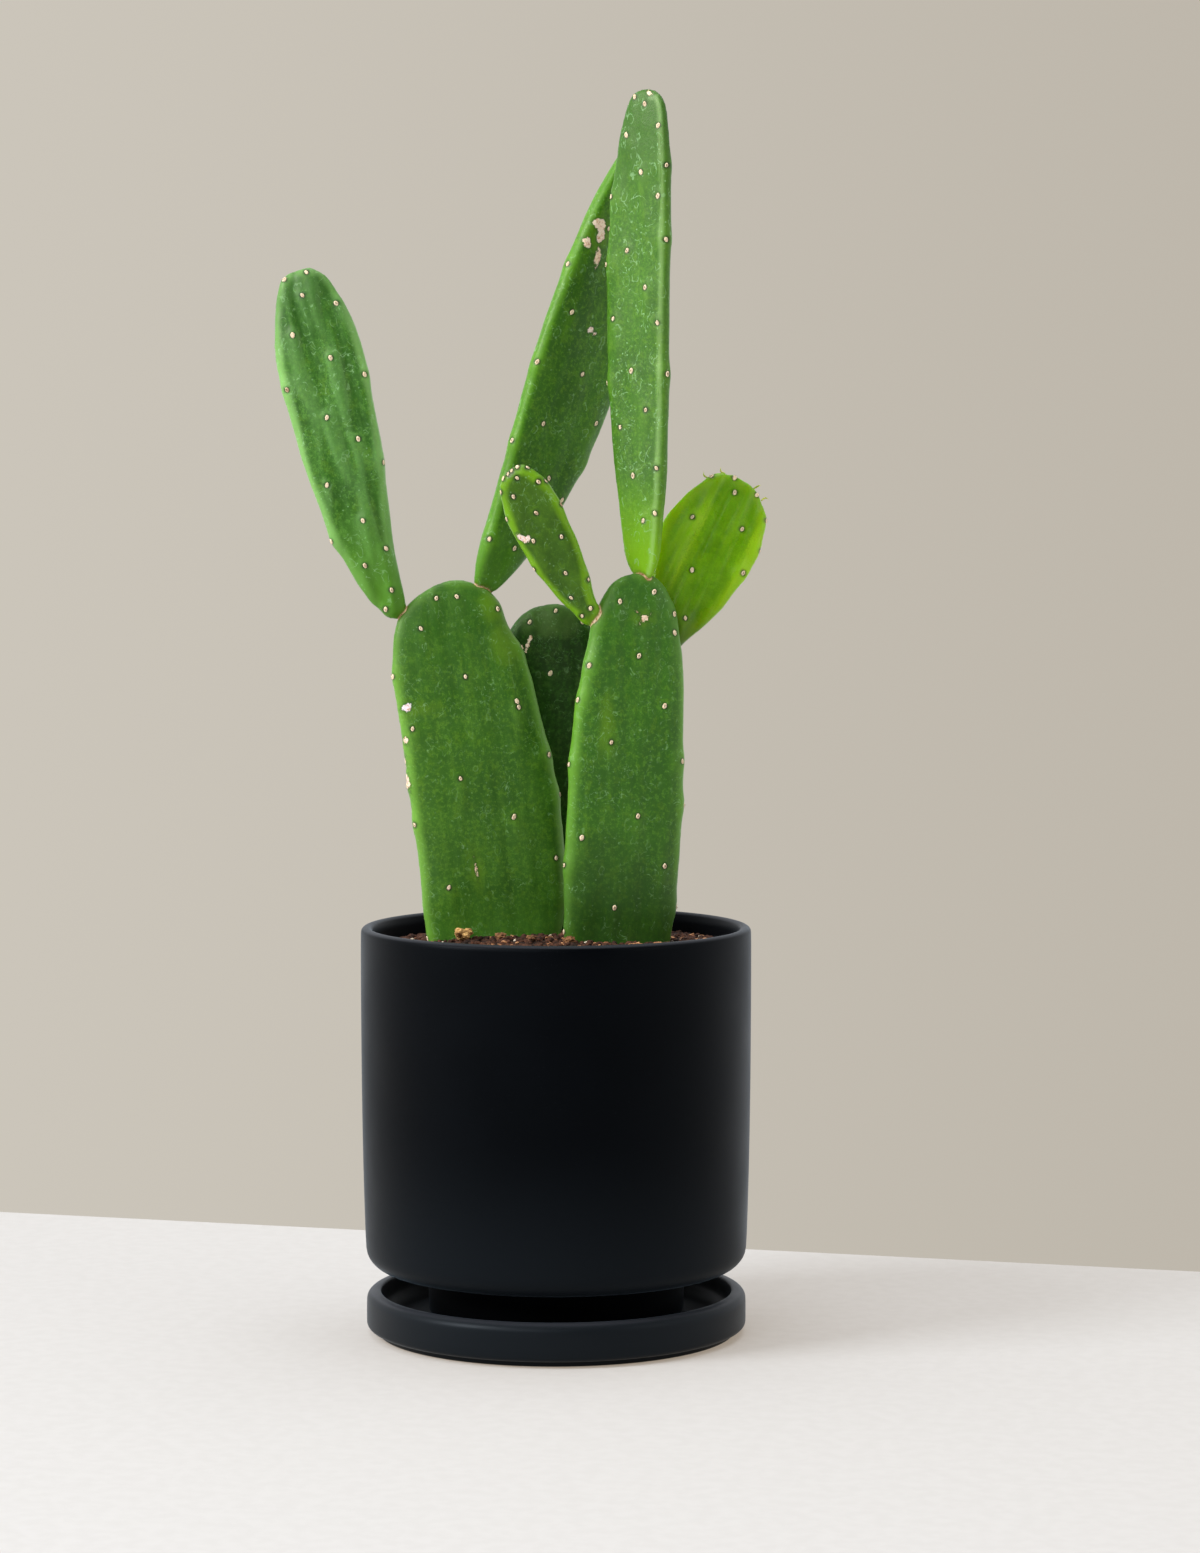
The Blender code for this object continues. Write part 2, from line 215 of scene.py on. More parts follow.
class Skin(Graph):
    """One pad's waxy skin, painted in layers over a mottled green."""

    def __init__(self, look):
        super().__init__(bpy.data.materials.new(look.name + "_skin"))
        self.look = look
        self.here = self.place()
        self.along = self.stretched(self.field("lie", "Vector"), (1.0, 1.0, 0.10))
        self.patchy = self.noise(self.here, 30.0, 4.0, 0.6)
        self.streaks = self.noise(self.along, look.streak_scale, 4.0, 0.6, 0.25)
        self.fine = self.noise(self.here, 520.0, 4.0, 0.7)
        self.mottle = self.noise(self.here, 240.0, 3.0, 0.6)
        self.colour = self.mix(self.rise(self.patchy, 0.32, 0.68), look.deep, look.mid)
        self.paint_ground()
        self.paint_ends()
        if look.ridge_mm:
            self.paint_ridge()
        self.paint_wax()
        self.paint_cushion_shade()
        self.finish(self.paint_scars(), self.paint_joints())

    def paint_ground(self):
        """Streaks, mottling, a painted highlight on the crests and painted shade in the hollows."""
        look = self.look
        grain = self.noise(self.here, 1500.0, 3.0, 0.65)
        crest = self.field("crest")
        self.cover(self.rise(self.streaks, 0.50, 0.76, look.streaks), look.light)
        self.cover(self.fall(self.streaks, 0.24, 0.44, 0.45), look.deep)
        self.cover(self.rise(self.mottle, 0.50, 0.66, 0.5 * look.mottle), look.yellowed)
        self.cover(self.rise(self.fine, 0.50, 0.64, look.mottle), look.light)
        self.cover(self.fall(self.fine, 0.36, 0.49, look.mottle), look.deep)
        self.cover(self.fall(grain, 0.38, 0.52, 0.45), look.deep)
        # Painted highlight on the crests of the relief and painted shade in its hollows.
        self.cover(self.rise(crest, 0.05, 0.75, look.crest_highlight_share), look.crest_highlight)
        self.cover(self.fall(crest, -0.70, 0.0, look.crest_highlight_share), look.deep)

    def paint_ends(self):
        """Pale margins, partly painted highlight; a neck of its own colour, painted shadow on the
        young pad; and painted shade towards the tip.
        """
        look = self.look
        edge = self.plus(self.field("edge_mm"), self.swing(self.patchy, 5.0))
        # The paler margin is partly the tissue's own colour and partly painted highlight on the
        # rounded edge.
        self.cover(self.fall(edge, 1.5, look.margin_mm, look.margin_share), look.margin)
        # The neck's own colour; on the young pad it is dark, painted shadow from the pads in front.
        self.cover(self.rise(self.field("neck"), 0.0, 1.0, look.neck_share), look.neck)
        # Painted shade towards the tip.
        self.cover(self.rise(self.field("tip"), 0.0, 1.0, look.tip_share), look.deep)

    def paint_ridge(self):
        """A painted highlight along a lengthwise ridge near the right margin, with painted shade on
        the margin beyond it.
        """
        ridge, edge = self.look.ridge_mm, self.field("edge_mm")
        right = self.rise(self.field("side"), 0.25, 0.40)
        # Painted shade on the margin beyond the ridge.
        shaded_beyond = self.fall(edge, ridge - 1.2, ridge - 0.2, 0.05)
        self.cover(self.times(right, shaded_beyond), self.look.deep)
        # Painted highlight along the ridge.
        line = self.fall(self.apart(edge, ridge + 0.4), 0.1, 2.3, 0.32)
        broken = self.rise(self.streaks, 0.36, 0.55)
        self.cover(self.times(right, line, broken), RIDGE_HIGHLIGHT)

    def paint_wax(self):
        """Yellowed patches, then flecks, curled marks and rings in the wax."""
        look, here = self.look, self.here
        wobble = self.swing(self.noise(here, 150.0, 5.0, 0.7), 9.0)
        patch = self.plus(self.field("patch_mm"), wobble)
        self.cover(self.fall(patch, -3.0, 3.0, 0.48), look.yellowed)

        spots = self.fall(self.cells(here, 520.0), 0.12, 0.30)
        sparse = self.rise(self.cells(here, 520.0, "Color"), 0.62, 0.70)
        gathered = self.rise(self.noise(here, 70.0, 3.0), 0.45, 0.62)
        self.cover(self.times(spots, sparse, gathered, look.flecks), look.wax)

        swirl = self.noise(here, 150.0, 2.0, 0.5, 0.6)
        curl = self.fall(self.apart(swirl, 0.52), 0.003, 0.014)
        broken = self.rise(self.noise(here, 95.0, 3.0, 0.6), 0.50, 0.60)
        flaky = self.rise(self.fine, 0.40, 0.55)
        self.cover(self.times(curl, broken, flaky, look.curls), look.wax)

        upright = self.stretched(self.field("lie", "Vector"), (1.0, 1.0, 0.62))
        radius = self.span(self.noise(here, 260.0, 2.0), 0.3, 0.7, 0.24, 0.46)
        ring = self.fall(self.apart(self.cells(upright, 190.0), radius), 0.01, 0.062)
        chosen = self.rise(self.cells(upright, 190.0, "Color"), 0.52, 0.56)
        worn = self.rise(self.mottle, 0.44, 0.56)
        self.cover(self.times(ring, worn, chosen, look.rings), look.wax)

    def paint_cushion_shade(self):
        """Painted shade in the dimple round each cushion."""
        seat = self.plus(self.field("cushion_mm"), self.swing(self.fine, 1.0))
        self.cover(self.fall(seat, 1.2, 2.9, 0.55), self.look.seat)
        self.cover(self.fall(seat, 1.0, 1.8, 0.75), SEAT_SHADOW)

    def paint_scars(self):
        """Dry scars with a green shadow round them; returns where the skin is scarred."""
        ragged = self.swing(self.noise(self.here, 380.0, 5.0, 0.75), 4.2)
        scar = self.plus(self.field("scar_mm"), ragged)
        scarred = self.fall(scar, -0.1, 0.3)
        tissue = self.mix(self.field("scar_tint"), srgb(246, 218, 184), srgb(244, 234, 240))
        cracks = self.rise(self.noise(self.here, 700.0, 4.0, 0.7), 0.34, 0.52)
        self.cover(self.fall(scar, 0.2, 1.4, 0.5), self.look.seat)
        self.cover(scarred, self.mix(cracks, srgb(206, 158, 124), tissue))
        return scarred

    def paint_joints(self):
        """The corky line where pads meet; returns where the skin is corky."""
        joint = self.plus(self.field("joint_mm"), self.swing(self.fine, 1.2))
        corky = self.fall(joint, 0.9, 1.5)
        cork = self.mix(self.rise(self.fine, 0.36, 0.56), srgb(170, 128, 84), srgb(246, 218, 176))
        self.cover(self.fall(joint, 1.2, 2.8, 0.4), srgb(96, 104, 36))
        self.cover(corky, cork)
        return corky

    def finish(self, scarred, corky):
        """The shader's other inputs, and the relief of pores and dry skin."""
        look, here = self.look, self.here
        dry = self.math("MAXIMUM", scarred, corky)
        rough = self.span(self.noise(here, 90.0, 3.0), 0.3, 0.7,
                          look.roughness - 0.05, look.roughness + 0.08)
        self.set(
            Base_Color=self.colour,
            Roughness=self.math("ADD", rough, self.times(dry, 0.35), clamp=True),
            Specular_IOR_Level=look.shine,
            Specular_Tint=(1.0, 1.0, 0.85, 1.0),
            Subsurface_Weight=look.translucency,
            Subsurface_Radius=(0.30, 1.0, 0.12),
            Subsurface_Scale=look.depth,
        )
        pores = self.plus(self.times(self.noise(here, 900.0, 4.0, 0.65), 0.6),
                          self.times(self.noise(self.along, 600.0, 3.0, 0.5), 0.4))
        crust = self.noise(here, 900.0, 4.0, 0.7)
        relief = self.bump(pores, 0.00030, 0.6)
        self.set(Normal=self.bump(crust, 0.0006, self.times(dry, 0.8), relief))


def cushion_material():
    """Felted tan wool, with painted shade in its hollow."""
    g = new_graph("cushion_wool")
    here = g.place()
    fuzz = g.noise(here, 2600.0, 4.0, 0.7)
    tone = g.noise(here, 45.0, 2.0)
    g.colour = g.mix(g.rise(fuzz, 0.3, 0.7), srgb(232, 198, 152), srgb(255, 244, 218))
    g.cover(g.rise(tone, 0.60, 0.72, 0.6), srgb(150, 104, 74))
    # Painted shade in each cushion's hollow, darker brown where it is deepest.
    g.cover(g.rise(g.field("depth"), 0.0, 1.0, 0.9), srgb(84, 54, 30))
    g.set(Base_Color=g.colour, Roughness=0.95, Specular_IOR_Level=0.2)
    g.set(Normal=g.bump(fuzz, 0.00035, 0.9))
    return g.owner


def bristle_material():
    """Fine straw bristles with brown stretches."""
    g = new_graph("bristle_straw")
    here = g.place()
    tone = g.noise(here, 700.0, 2.0)
    g.colour = g.mix(g.rise(tone, 0.35, 0.65), srgb(226, 200, 150), srgb(120, 78, 44))
    g.set(Base_Color=g.colour, Roughness=0.5)
    g.set(Normal=g.bump(g.noise(here, 3000.0, 2.0), 0.0001, 0.4))
    return g.owner


# The gap between the pot and its saucer, where the glaze is painted dark as shade: inside this
# radius and below this height, in metres.
GAP_RADIUS = 0.083
GAP_TOP = 0.032


def glaze_material(name, rim_z, shade, gloss):
    """Satin near-black glaze with a fine grain, a painted highlight on its rim, a painted
    reflection of the table low down and painted shade in the gap under the pot.
    """
    g = new_graph(name)
    here = g.place()
    grain = g.noise(here, 1500.0, 3.0, 0.6)
    cloud = g.noise(here, 22.0, 3.0, 0.5)
    speck = g.fall(g.cells(here, 420.0), 0.05, 0.11)
    sparse = g.rise(g.cells(here, 420.0, "Color"), 0.70, 0.74)
    g.colour = g.mix(g.rise(cloud, 0.3, 0.7), shade, scaled(shade, 1.35))
    g.cover(g.times(speck, sparse, 0.10), srgb(70, 76, 84))
    x, y, height = g.node("SeparateXYZ", {0: here}).outputs
    # Painted reflection of the table: lighter low down.
    g.cover(g.fall(height, 0.03, 0.12, 0.8), srgb(19, 23, 27))
    # Painted highlight along the rim.
    rim_highlight = g.rise(height, rim_z - 0.0016, rim_z - 0.0004, 0.45)
    g.cover(rim_highlight, srgb(64, 66, 72))
    # Painted shade in the gap between the pot and its saucer, over the painted reflection low down.
    radius = g.math("SQRT", g.plus(g.times(x, x), g.times(y, y)))
    shaded_gap = g.times(g.fall(radius, GAP_RADIUS, GAP_RADIUS + 0.006),
                     g.fall(height, GAP_TOP, GAP_TOP + 0.004))
    g.cover(shaded_gap, srgb(1, 1, 2))
    rough = g.plus(g.span(cloud, 0.3, 0.7, 0.36, 0.42), g.times(grain, 0.05))
    g.set(
        Base_Color=g.colour,
        Roughness=g.plus(rough, g.times(shaded_gap, 0.3)),
        Specular_IOR_Level=gloss,
        Specular_Tint=(0.78, 0.89, 1.0, 1.0),
        Sheen_Weight=0.10,
        Sheen_Roughness=0.25,
        Sheen_Tint=(0.55, 0.78, 1.0, 1.0),
    )
    waver = g.bump(g.noise(here, 9.0, 2.0, 0.5), 0.0012, 0.35)
    g.set(Normal=g.bump(grain, 0.00006, 0.5, waver))
    return g.owner


def soil_material(name, dark, light, roughness=0.9):
    """Crumbly soil or bark."""
    g = new_graph(name)
    here = g.place()
    tone = g.noise(here, 160.0, 4.0, 0.7)
    crumb = g.noise(here, 900.0, 4.0, 0.7)
    g.colour = g.mix(g.rise(tone, 0.32, 0.68), dark, light)
    g.cover(g.rise(crumb, 0.52, 0.72, 0.5), light)
    g.cover(g.fall(crumb, 0.28, 0.42, 0.6), scaled(dark, 0.4))
    g.set(Base_Color=g.colour, Roughness=roughness, Specular_IOR_Level=0.3)
    g.set(Normal=g.bump(crumb, 0.0007, 0.9))
    return g.owner


def leaf_material():
    """Fresh yellow-green flesh."""
    g = new_graph("young_leaf_flesh")
    here = g.place()
    tone = g.noise(here, 500.0, 2.0)
    g.colour = g.mix(g.rise(tone, 0.3, 0.7), srgb(150, 165, 20), srgb(205, 205, 90))
    g.set(Base_Color=g.colour, Roughness=0.45, Subsurface_Weight=0.3,
          Subsurface_Radius=(0.6, 1.0, 0.2), Subsurface_Scale=0.001)
    g.set(Normal=g.bump(g.noise(here, 2500.0, 2.0), 0.00008, 0.5))
    return g.owner


# ---- mesh helpers


def points_of(mesh):
    out = np.empty(len(mesh.vertices) * 3)
    mesh.vertices.foreach_get("co", out)
    return out.reshape(-1, 3)


def normals_of(mesh):
    out = np.empty(len(mesh.vertices) * 3)
    mesh.vertex_normals.foreach_get("vector", out)
    return out.reshape(-1, 3)


def set_points(mesh, points):
    mesh.vertices.foreach_set("co", points.astype(np.float32).ravel())
    mesh.update()


def smoothed(mesh, values, times):
    """Values at the mesh's points, each drawn halfway to its neighbours' mean."""
    edges = np.empty(len(mesh.edges) * 2, dtype=np.int32)
    mesh.edges.foreach_get("vertices", edges)
    a, b = edges.reshape(-1, 2).T
    count = np.bincount(np.concatenate((a, b)), minlength=len(values))
    count = np.maximum(count, 1)
    flat = values.reshape(len(values), -1).copy()
    for _ in range(times):
        mean = np.empty_like(flat)
        for k in range(flat.shape[1]):
            mean[:, k] = (np.bincount(a, flat[b, k], len(flat))
                          + np.bincount(b, flat[a, k], len(flat))) / count
        flat += 0.5 * (mean - flat)
    return flat.reshape(values.shape)


def noise_at(points, scale, offset=0.0):
    """Smooth noise, about -1 to 1, at each point."""
    shift = Vector((offset, 1.7 * offset, -0.6 * offset))
    return np.array([noise.noise(Vector(p) * scale + shift) for p in points])


def carry(mesh, name, values):
    """Store one number or one vector per point on the mesh, for its material."""
    kind = "FLOAT_VECTOR" if values.ndim == 2 else "FLOAT"
    attribute = mesh.attributes.new(name, kind, "POINT")
    key = "vector" if values.ndim == 2 else "value"
    attribute.data.foreach_set(key, values.astype(np.float32).ravel())


def mesh_of(name, points, faces):
    mesh = bpy.data.meshes.new(name)
    mesh.from_pydata(points, [], faces)
    return mesh


def in_scene(name, data):
    """A new object in the scene, for a mesh, a lamp or a camera."""
    made = bpy.data.objects.new(name, data)
    bpy.context.scene.collection.objects.link(made)
    return made


def new_piece(name, mesh, finish):
    """A shown mesh object that rides on the plant's one body."""
    made = in_scene(name, mesh)
    mesh.materials.clear()
    mesh.materials.append(finish)
    mesh.shade_smooth()
    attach(made, "root")
    return made


def unit_ball(subdivisions):
    """The points and triangles of a ball of radius one."""
    ball = bmesh.new()
    bmesh.ops.create_icosphere(ball, subdivisions=subdivisions, radius=1.0)
    points = np.array([v.co[:] for v in ball.verts])
    faces = [[v.index for v in f.verts] for f in ball.faces]
    ball.free()
    return points, faces


def welded(node):
    """A CAD node's mesh to work on, with its doubled points joined."""
    shape = bmesh.new()
    shape.from_mesh(frame["nodes"][node].data)
    bmesh.ops.remove_doubles(shape, verts=shape.verts, dist=WELD)
    return shape


def cage_of(node):
    """A copy of a CAD node's mesh, welded, with its triangles joined to quads."""
    cage = welded(node)
    bmesh.ops.join_triangles(cage, faces=cage.faces, angle_face_threshold=0.7,
                             angle_shape_threshold=0.9)
    mesh = bpy.data.meshes.new(node + "_cage")
    cage.to_mesh(mesh)
    cage.free()
    return mesh


def evaluated(thing):
    """The mesh of an object with its modifiers applied; the object goes."""
    graph = bpy.context.evaluated_depsgraph_get()
    made = bpy.data.meshes.new_from_object(thing.evaluated_get(graph))
    old = thing.data
    bpy.data.objects.remove(thing, do_unlink=True)
    bpy.data.meshes.remove(old)
    return made


def remeshed(node, voxel, levels=2):
    """The CAD node's shape as an even, dense mesh."""
    thing = in_scene("work", cage_of(node))
    if levels:
        rounder = thing.modifiers.new("rounder", "SUBSURF")
        rounder.levels = rounder.render_levels = levels
    even = thing.modifiers.new("even", "REMESH")
    even.mode = "VOXEL"
    even.voxel_size = voxel
    mesh = evaluated(thing)
    set_points(mesh, smoothed(mesh, points_of(mesh), times=6))
    return mesh


def surface_tree(mesh):
    """A mesh's surface, ready to be asked for nearest places and rays."""
    points = [tuple(v.co) for v in mesh.vertices]
    return BVHTree.FromPolygons(points, [tuple(p.vertices) for p in mesh.polygons])


def gap_to(tree, points):
    """Distance from each point to a surface and the nearest place on it."""
    gaps = np.full(len(points), NEAR)
    places = points.copy()
    for k, point in enumerate(points):
        place, _, _, gap = tree.find_nearest(Vector(point), NEAR)
        if place is not None:
            gaps[k], places[k] = gap, place
    return gaps, places


def drawn_to_cad(mesh, node):
    """Undo the rounder's shrinking: follow the CAD surface, but not its facets."""
    points, normals = points_of(mesh), normals_of(mesh)
    _, places = gap_to(surface_tree(frame["nodes"][node].data), points)
    outward = np.sum((places - points) * normals, axis=1)
    set_points(mesh, points + normals * smoothed(mesh, outward, times=30)[:, None])


# ---- pads


@dataclass
class Look:
    """How one pad looks: colours, shares of 0 to 1, and lists of marks.

    A mark starts with its place, as (share of the pad's length, millimetres across). Cushions
    have no more. Patches add half their width and height in millimetres. Scars add those, their
    turn in degrees and their tint.
    """

    name: str
    slot: str
    deep: tuple
    mid: tuple
    light: tuple
    margin: tuple
    # Colours; the neck is like the margin, and the painted highlight on crests like the light,
    # unless they are given.
    neck: tuple = None
    crest_highlight: tuple = None
    yellowed: tuple = srgb(98, 140, 18)
    # The seat colour is painted shade round cushions and scars.
    seat: tuple = srgb(24, 58, 22)
    wax: tuple = srgb(150, 196, 140)
    # How strongly, and how far in millimetres or as a share of the length, each layer shows.
    streaks: float = 0.35
    streak_scale: float = 210.0
    mottle: float = 0.60
    ridge_mm: float = 0.0
    margin_mm: float = 6.0
    margin_share: float = 0.35
    neck_share: float = 0.35
    neck_reach: float = 0.11
    tip_share: float = 0.0
    flecks: float = 0.30
    curls: float = 0.38
    rings: float = 0.15
    # The share of painted highlight on crests and painted shade in hollows.
    crest_highlight_share: float = 0.35
    # The shader's values.
    roughness: float = 0.42
    shine: float = 0.33
    translucency: float = 0.10
    depth: float = 0.002
    # The shape: voxel and tail in metres, ripple, folds and swell in millimetres.
    voxel: float = 0.00095
    ripple: float = 0.35
    folds: float = 0.12
    square: float = 3.6
    swell: float = 0.55
    tail: float = 0.012
    cushion: float = 1.0
    # Marks on the front face, and the pad it grows on.
    front: tuple = ()
    scars: tuple = ()
    patches: tuple = ()
    parent: str = None

    def __post_init__(self):
        self.neck = self.neck or self.margin
        self.crest_highlight = self.crest_highlight or self.light


LOOKS = (
    Look(
        "base_pad_left", "base_pad_skin",
        srgb(46, 92, 20), srgb(64, 114, 26), srgb(92, 140, 38), srgb(128, 186, 66),
        front=((0.90, -19), (0.965, -8.5), (0.96, 2), (0.775, 0), (0.705, 25), (0.69, 25.5),
               (0.92, 22.5), (0.675, -30), (0.545, -9.5), (0.44, 15), (0.455, -36), (0.30, -23),
               (0.33, 34), (0.57, 38), (0.80, -36)),
        scars=((0.725, -31.5, 2.4, 1.6, 20, 1.0), (0.65, -34, 1.0, 1.5, 0, 0.2),
               (0.335, -8, 0.35, 2.0, 2, 0.1), (0.60, -36, 0.5, 2.0, 0, 0.3),
               (0.555, -35.5, 0.5, 2.6, 0, 0.2)),
        patches=((0.715, -24, 7, 3), (0.93, 20, 7, 9), (0.84, 24, 8, 12), (0.335, -8, 3, 9)),
        folds=0.35, margin_mm=6.5, margin_share=0.50, tip_share=0.55, neck=srgb(84, 140, 50),
    ),
    Look(
        "base_pad_right", "base_pad_skin",
        srgb(46, 94, 22), srgb(62, 116, 26), srgb(88, 142, 38), srgb(110, 168, 44),
        front=((0.89, -21.5), (0.935, -9.5), (0.96, 8.5), (0.91, 19.5), (0.87, 20), (0.815, 1.5),
               (0.79, -23.5), (0.71, -29), (0.705, 16), (0.62, -11.5), (0.565, -32), (0.58, 27),
               (0.455, 4.5), (0.40, -24), (0.335, -32), (0.345, 20.5), (0.245, -5)),
        scars=((0.90, 3, 1.3, 1.0, 30, 0.1), (0.905, 2, 0.5, 2.0, 55, 0.1),
               (0.90, 4.5, 0.5, 2.0, -50, 0.1)),
        patches=((0.90, 3, 5, 4), (0.66, -14, 4, 14)),
        margin_share=0.5, folds=0.40, tip_share=0.45, neck=srgb(38, 70, 24), neck_share=0.6,
        neck_reach=0.30,
    ),
    Look(
        "base_pad_back", "shaded_pad_skin",
        # These colours are darkened as painted shade from the pads in front.
        srgb(22, 52, 6), srgb(31, 70, 12), srgb(50, 96, 24), srgb(60, 112, 30),
        front=((0.955, -12), (0.985, 2.5), (0.955, 16), (0.83, -0.5), (0.70, 14), (0.68, -16),
               (0.55, 2)),
        scars=((0.905, -12, 0.7, 3.4, -18, 0.2),),
        patches=((0.96, 0, 16, 9),),
        flecks=0.15, curls=0.2, rings=0.1, shine=0.22, yellowed=srgb(76, 108, 44), folds=0.3,
    ),
    Look(
        "upper_pad_left", "upper_pad_skin",
        srgb(38, 84, 20), srgb(62, 115, 34), srgb(94, 149, 58), srgb(146, 202, 110),
        front=((0.985, 4), (0.98, -7.5), (0.925, -1), (0.885, 14.5), (0.825, -10.5), (0.74, 5.5),
               (0.675, 20), (0.685, -20), (0.585, -4), (0.505, 9), (0.43, 18), (0.405, -12.5),
               (0.285, 0.5), (0.25, -17), (0.195, 9), (0.165, -4), (0.08, 6.5), (0.035, 1)),
        parent="base_pad_left", ripple=0.4, folds=1.5, streaks=0.4, swell=1.3, tail=0.026,
        margin_share=0.60, margin_mm=5.5, neck_reach=0.42, tip_share=0.45,
        crest_highlight=srgb(108, 158, 84), crest_highlight_share=0.38,
        neck=srgb(74, 130, 14), neck_share=0.9, seat=srgb(30, 70, 34), flecks=0.45, curls=0.5,
        rings=0.3,
    ),
    Look(
        "tall_pad_back", "shaded_pad_skin",
        srgb(39, 88, 4), srgb(56, 112, 8), srgb(88, 142, 22), srgb(108, 168, 36),
        front=((0.72, -23.5), (0.625, -15), (0.50, -24), (0.51, 3.5), (0.38, -10.5), (0.42, 22),
               (0.325, -23), (0.11, -17), (0.11, -2), (0.275, 4), (0.24, 17), (0.82, -9),
               (0.90, -6)),
        scars=((0.822, -15, 3.2, 2.6, 10, 0.25), (0.80, -12.5, 2.0, 3.4, 10, 0.35),
               (0.775, -18.5, 1.8, 2.4, 30, 0.2), (0.755, -10, 1.6, 4.4, 8, 0.15),
               (0.605, 0, 1.8, 1.3, 25, 0.5), (0.60, 3, 1.2, 1.0, -25, 0.5)),
        patches=((0.80, -14, 6, 9),),
        parent="base_pad_left", margin_mm=4.0, neck=srgb(76, 130, 20), neck_share=0.5,
        neck_reach=0.25, rings=0.3, folds=0.35,
    ),
    Look(
        "tall_pad_front", "upper_pad_skin",
        srgb(51, 96, 20), srgb(67, 118, 27), srgb(93, 141, 42), srgb(104, 164, 36),
        front=((0.985, -1.5), (0.97, 5), (0.925, 14), (0.91, -6), (0.845, 17.5), (0.83, 4),
               (0.785, -16), (0.78, 13.5), (0.695, 17.5), (0.675, -6), (0.645, -20.5), (0.595, 6),
               (0.535, -15), (0.525, 13.5), (0.425, -3), (0.42, 17.5), (0.405, -20.5), (0.345, 7),
               (0.31, -9.5), (0.225, 13.5), (0.21, -1), (0.12, 6), (0.135, 13)),
        scars=((0.992, 7, 2.2, 0.7, -35, 0.1),),
        parent="base_pad_right", neck=srgb(128, 184, 0), neck_share=0.85, neck_reach=0.23,
        flecks=0.6, curls=0.7, rings=0.42, folds=0.45, square=4.4, ridge_mm=2.6,
        margin_share=0.15, tip_share=0.75,
    ),
    Look(
        "small_pad_front", "base_pad_skin",
        srgb(41, 78, 3), srgb(55, 94, 6), srgb(80, 124, 16), srgb(128, 184, 16),
        front=((0.975, -6), (0.99, -2.5), (0.995, 0), (1.0, 3), (0.98, 7), (0.95, 1), (0.885, 9),
               (0.87, 13), (0.87, -5), (0.92, -10), (0.735, 1.5), (0.71, 15), (0.765, -14),
               (0.545, 7.5), (0.595, -6), (0.445, -13), (0.345, 1), (0.255, 9), (0.205, -2.5),
               (0.10, 4), (0.08, -2)),
        scars=((0.635, -11, 1.5, 2.8, 35, 0.5), (0.62, -8.5, 1.0, 1.4, -30, 0.5)),
        parent="base_pad_right", voxel=0.0007, margin_share=0.65, margin_mm=4.6, roughness=0.36,
        ripple=0.2, cushion=0.85, mottle=0.35, rings=0.08, shine=0.28, tip_share=0.2,
    ),
    Look(
        "young_pad_right", "young_pad_skin",
        srgb(84, 138, 2), srgb(118, 176, 4), srgb(166, 212, 28), srgb(172, 216, 8),
        front=((0.715, -14), (0.775, 12), (0.485, -2.5), (0.59, 22), (0.265, 5.5), (0.92, 0),
               (0.965, 11), (0.87, 21), (0.94, -14), (0.99, -3), (0.73, 27)),
        parent="base_pad_right", voxel=0.0007, translucency=0.45, depth=0.004, roughness=0.30,
        streaks=1.0, streak_scale=85.0, mottle=0.15, flecks=0.08, curls=0.0, margin_share=0.5,
        # Its bright margin and crest colour are partly painted highlight; its dark neck is painted
        # shadow from the pads in front.
        ripple=0.5, folds=1.2, square=3.2, shine=0.30, rings=0.0, margin_mm=8.0,
        crest_highlight=srgb(152, 204, 34), crest_highlight_share=0.55, tip_share=0.45,
        neck=srgb(34, 68, 0), neck_share=0.95, neck_reach=0.60,
        seat=srgb(44, 84, 12), yellowed=srgb(170, 205, 30),
    ),
)


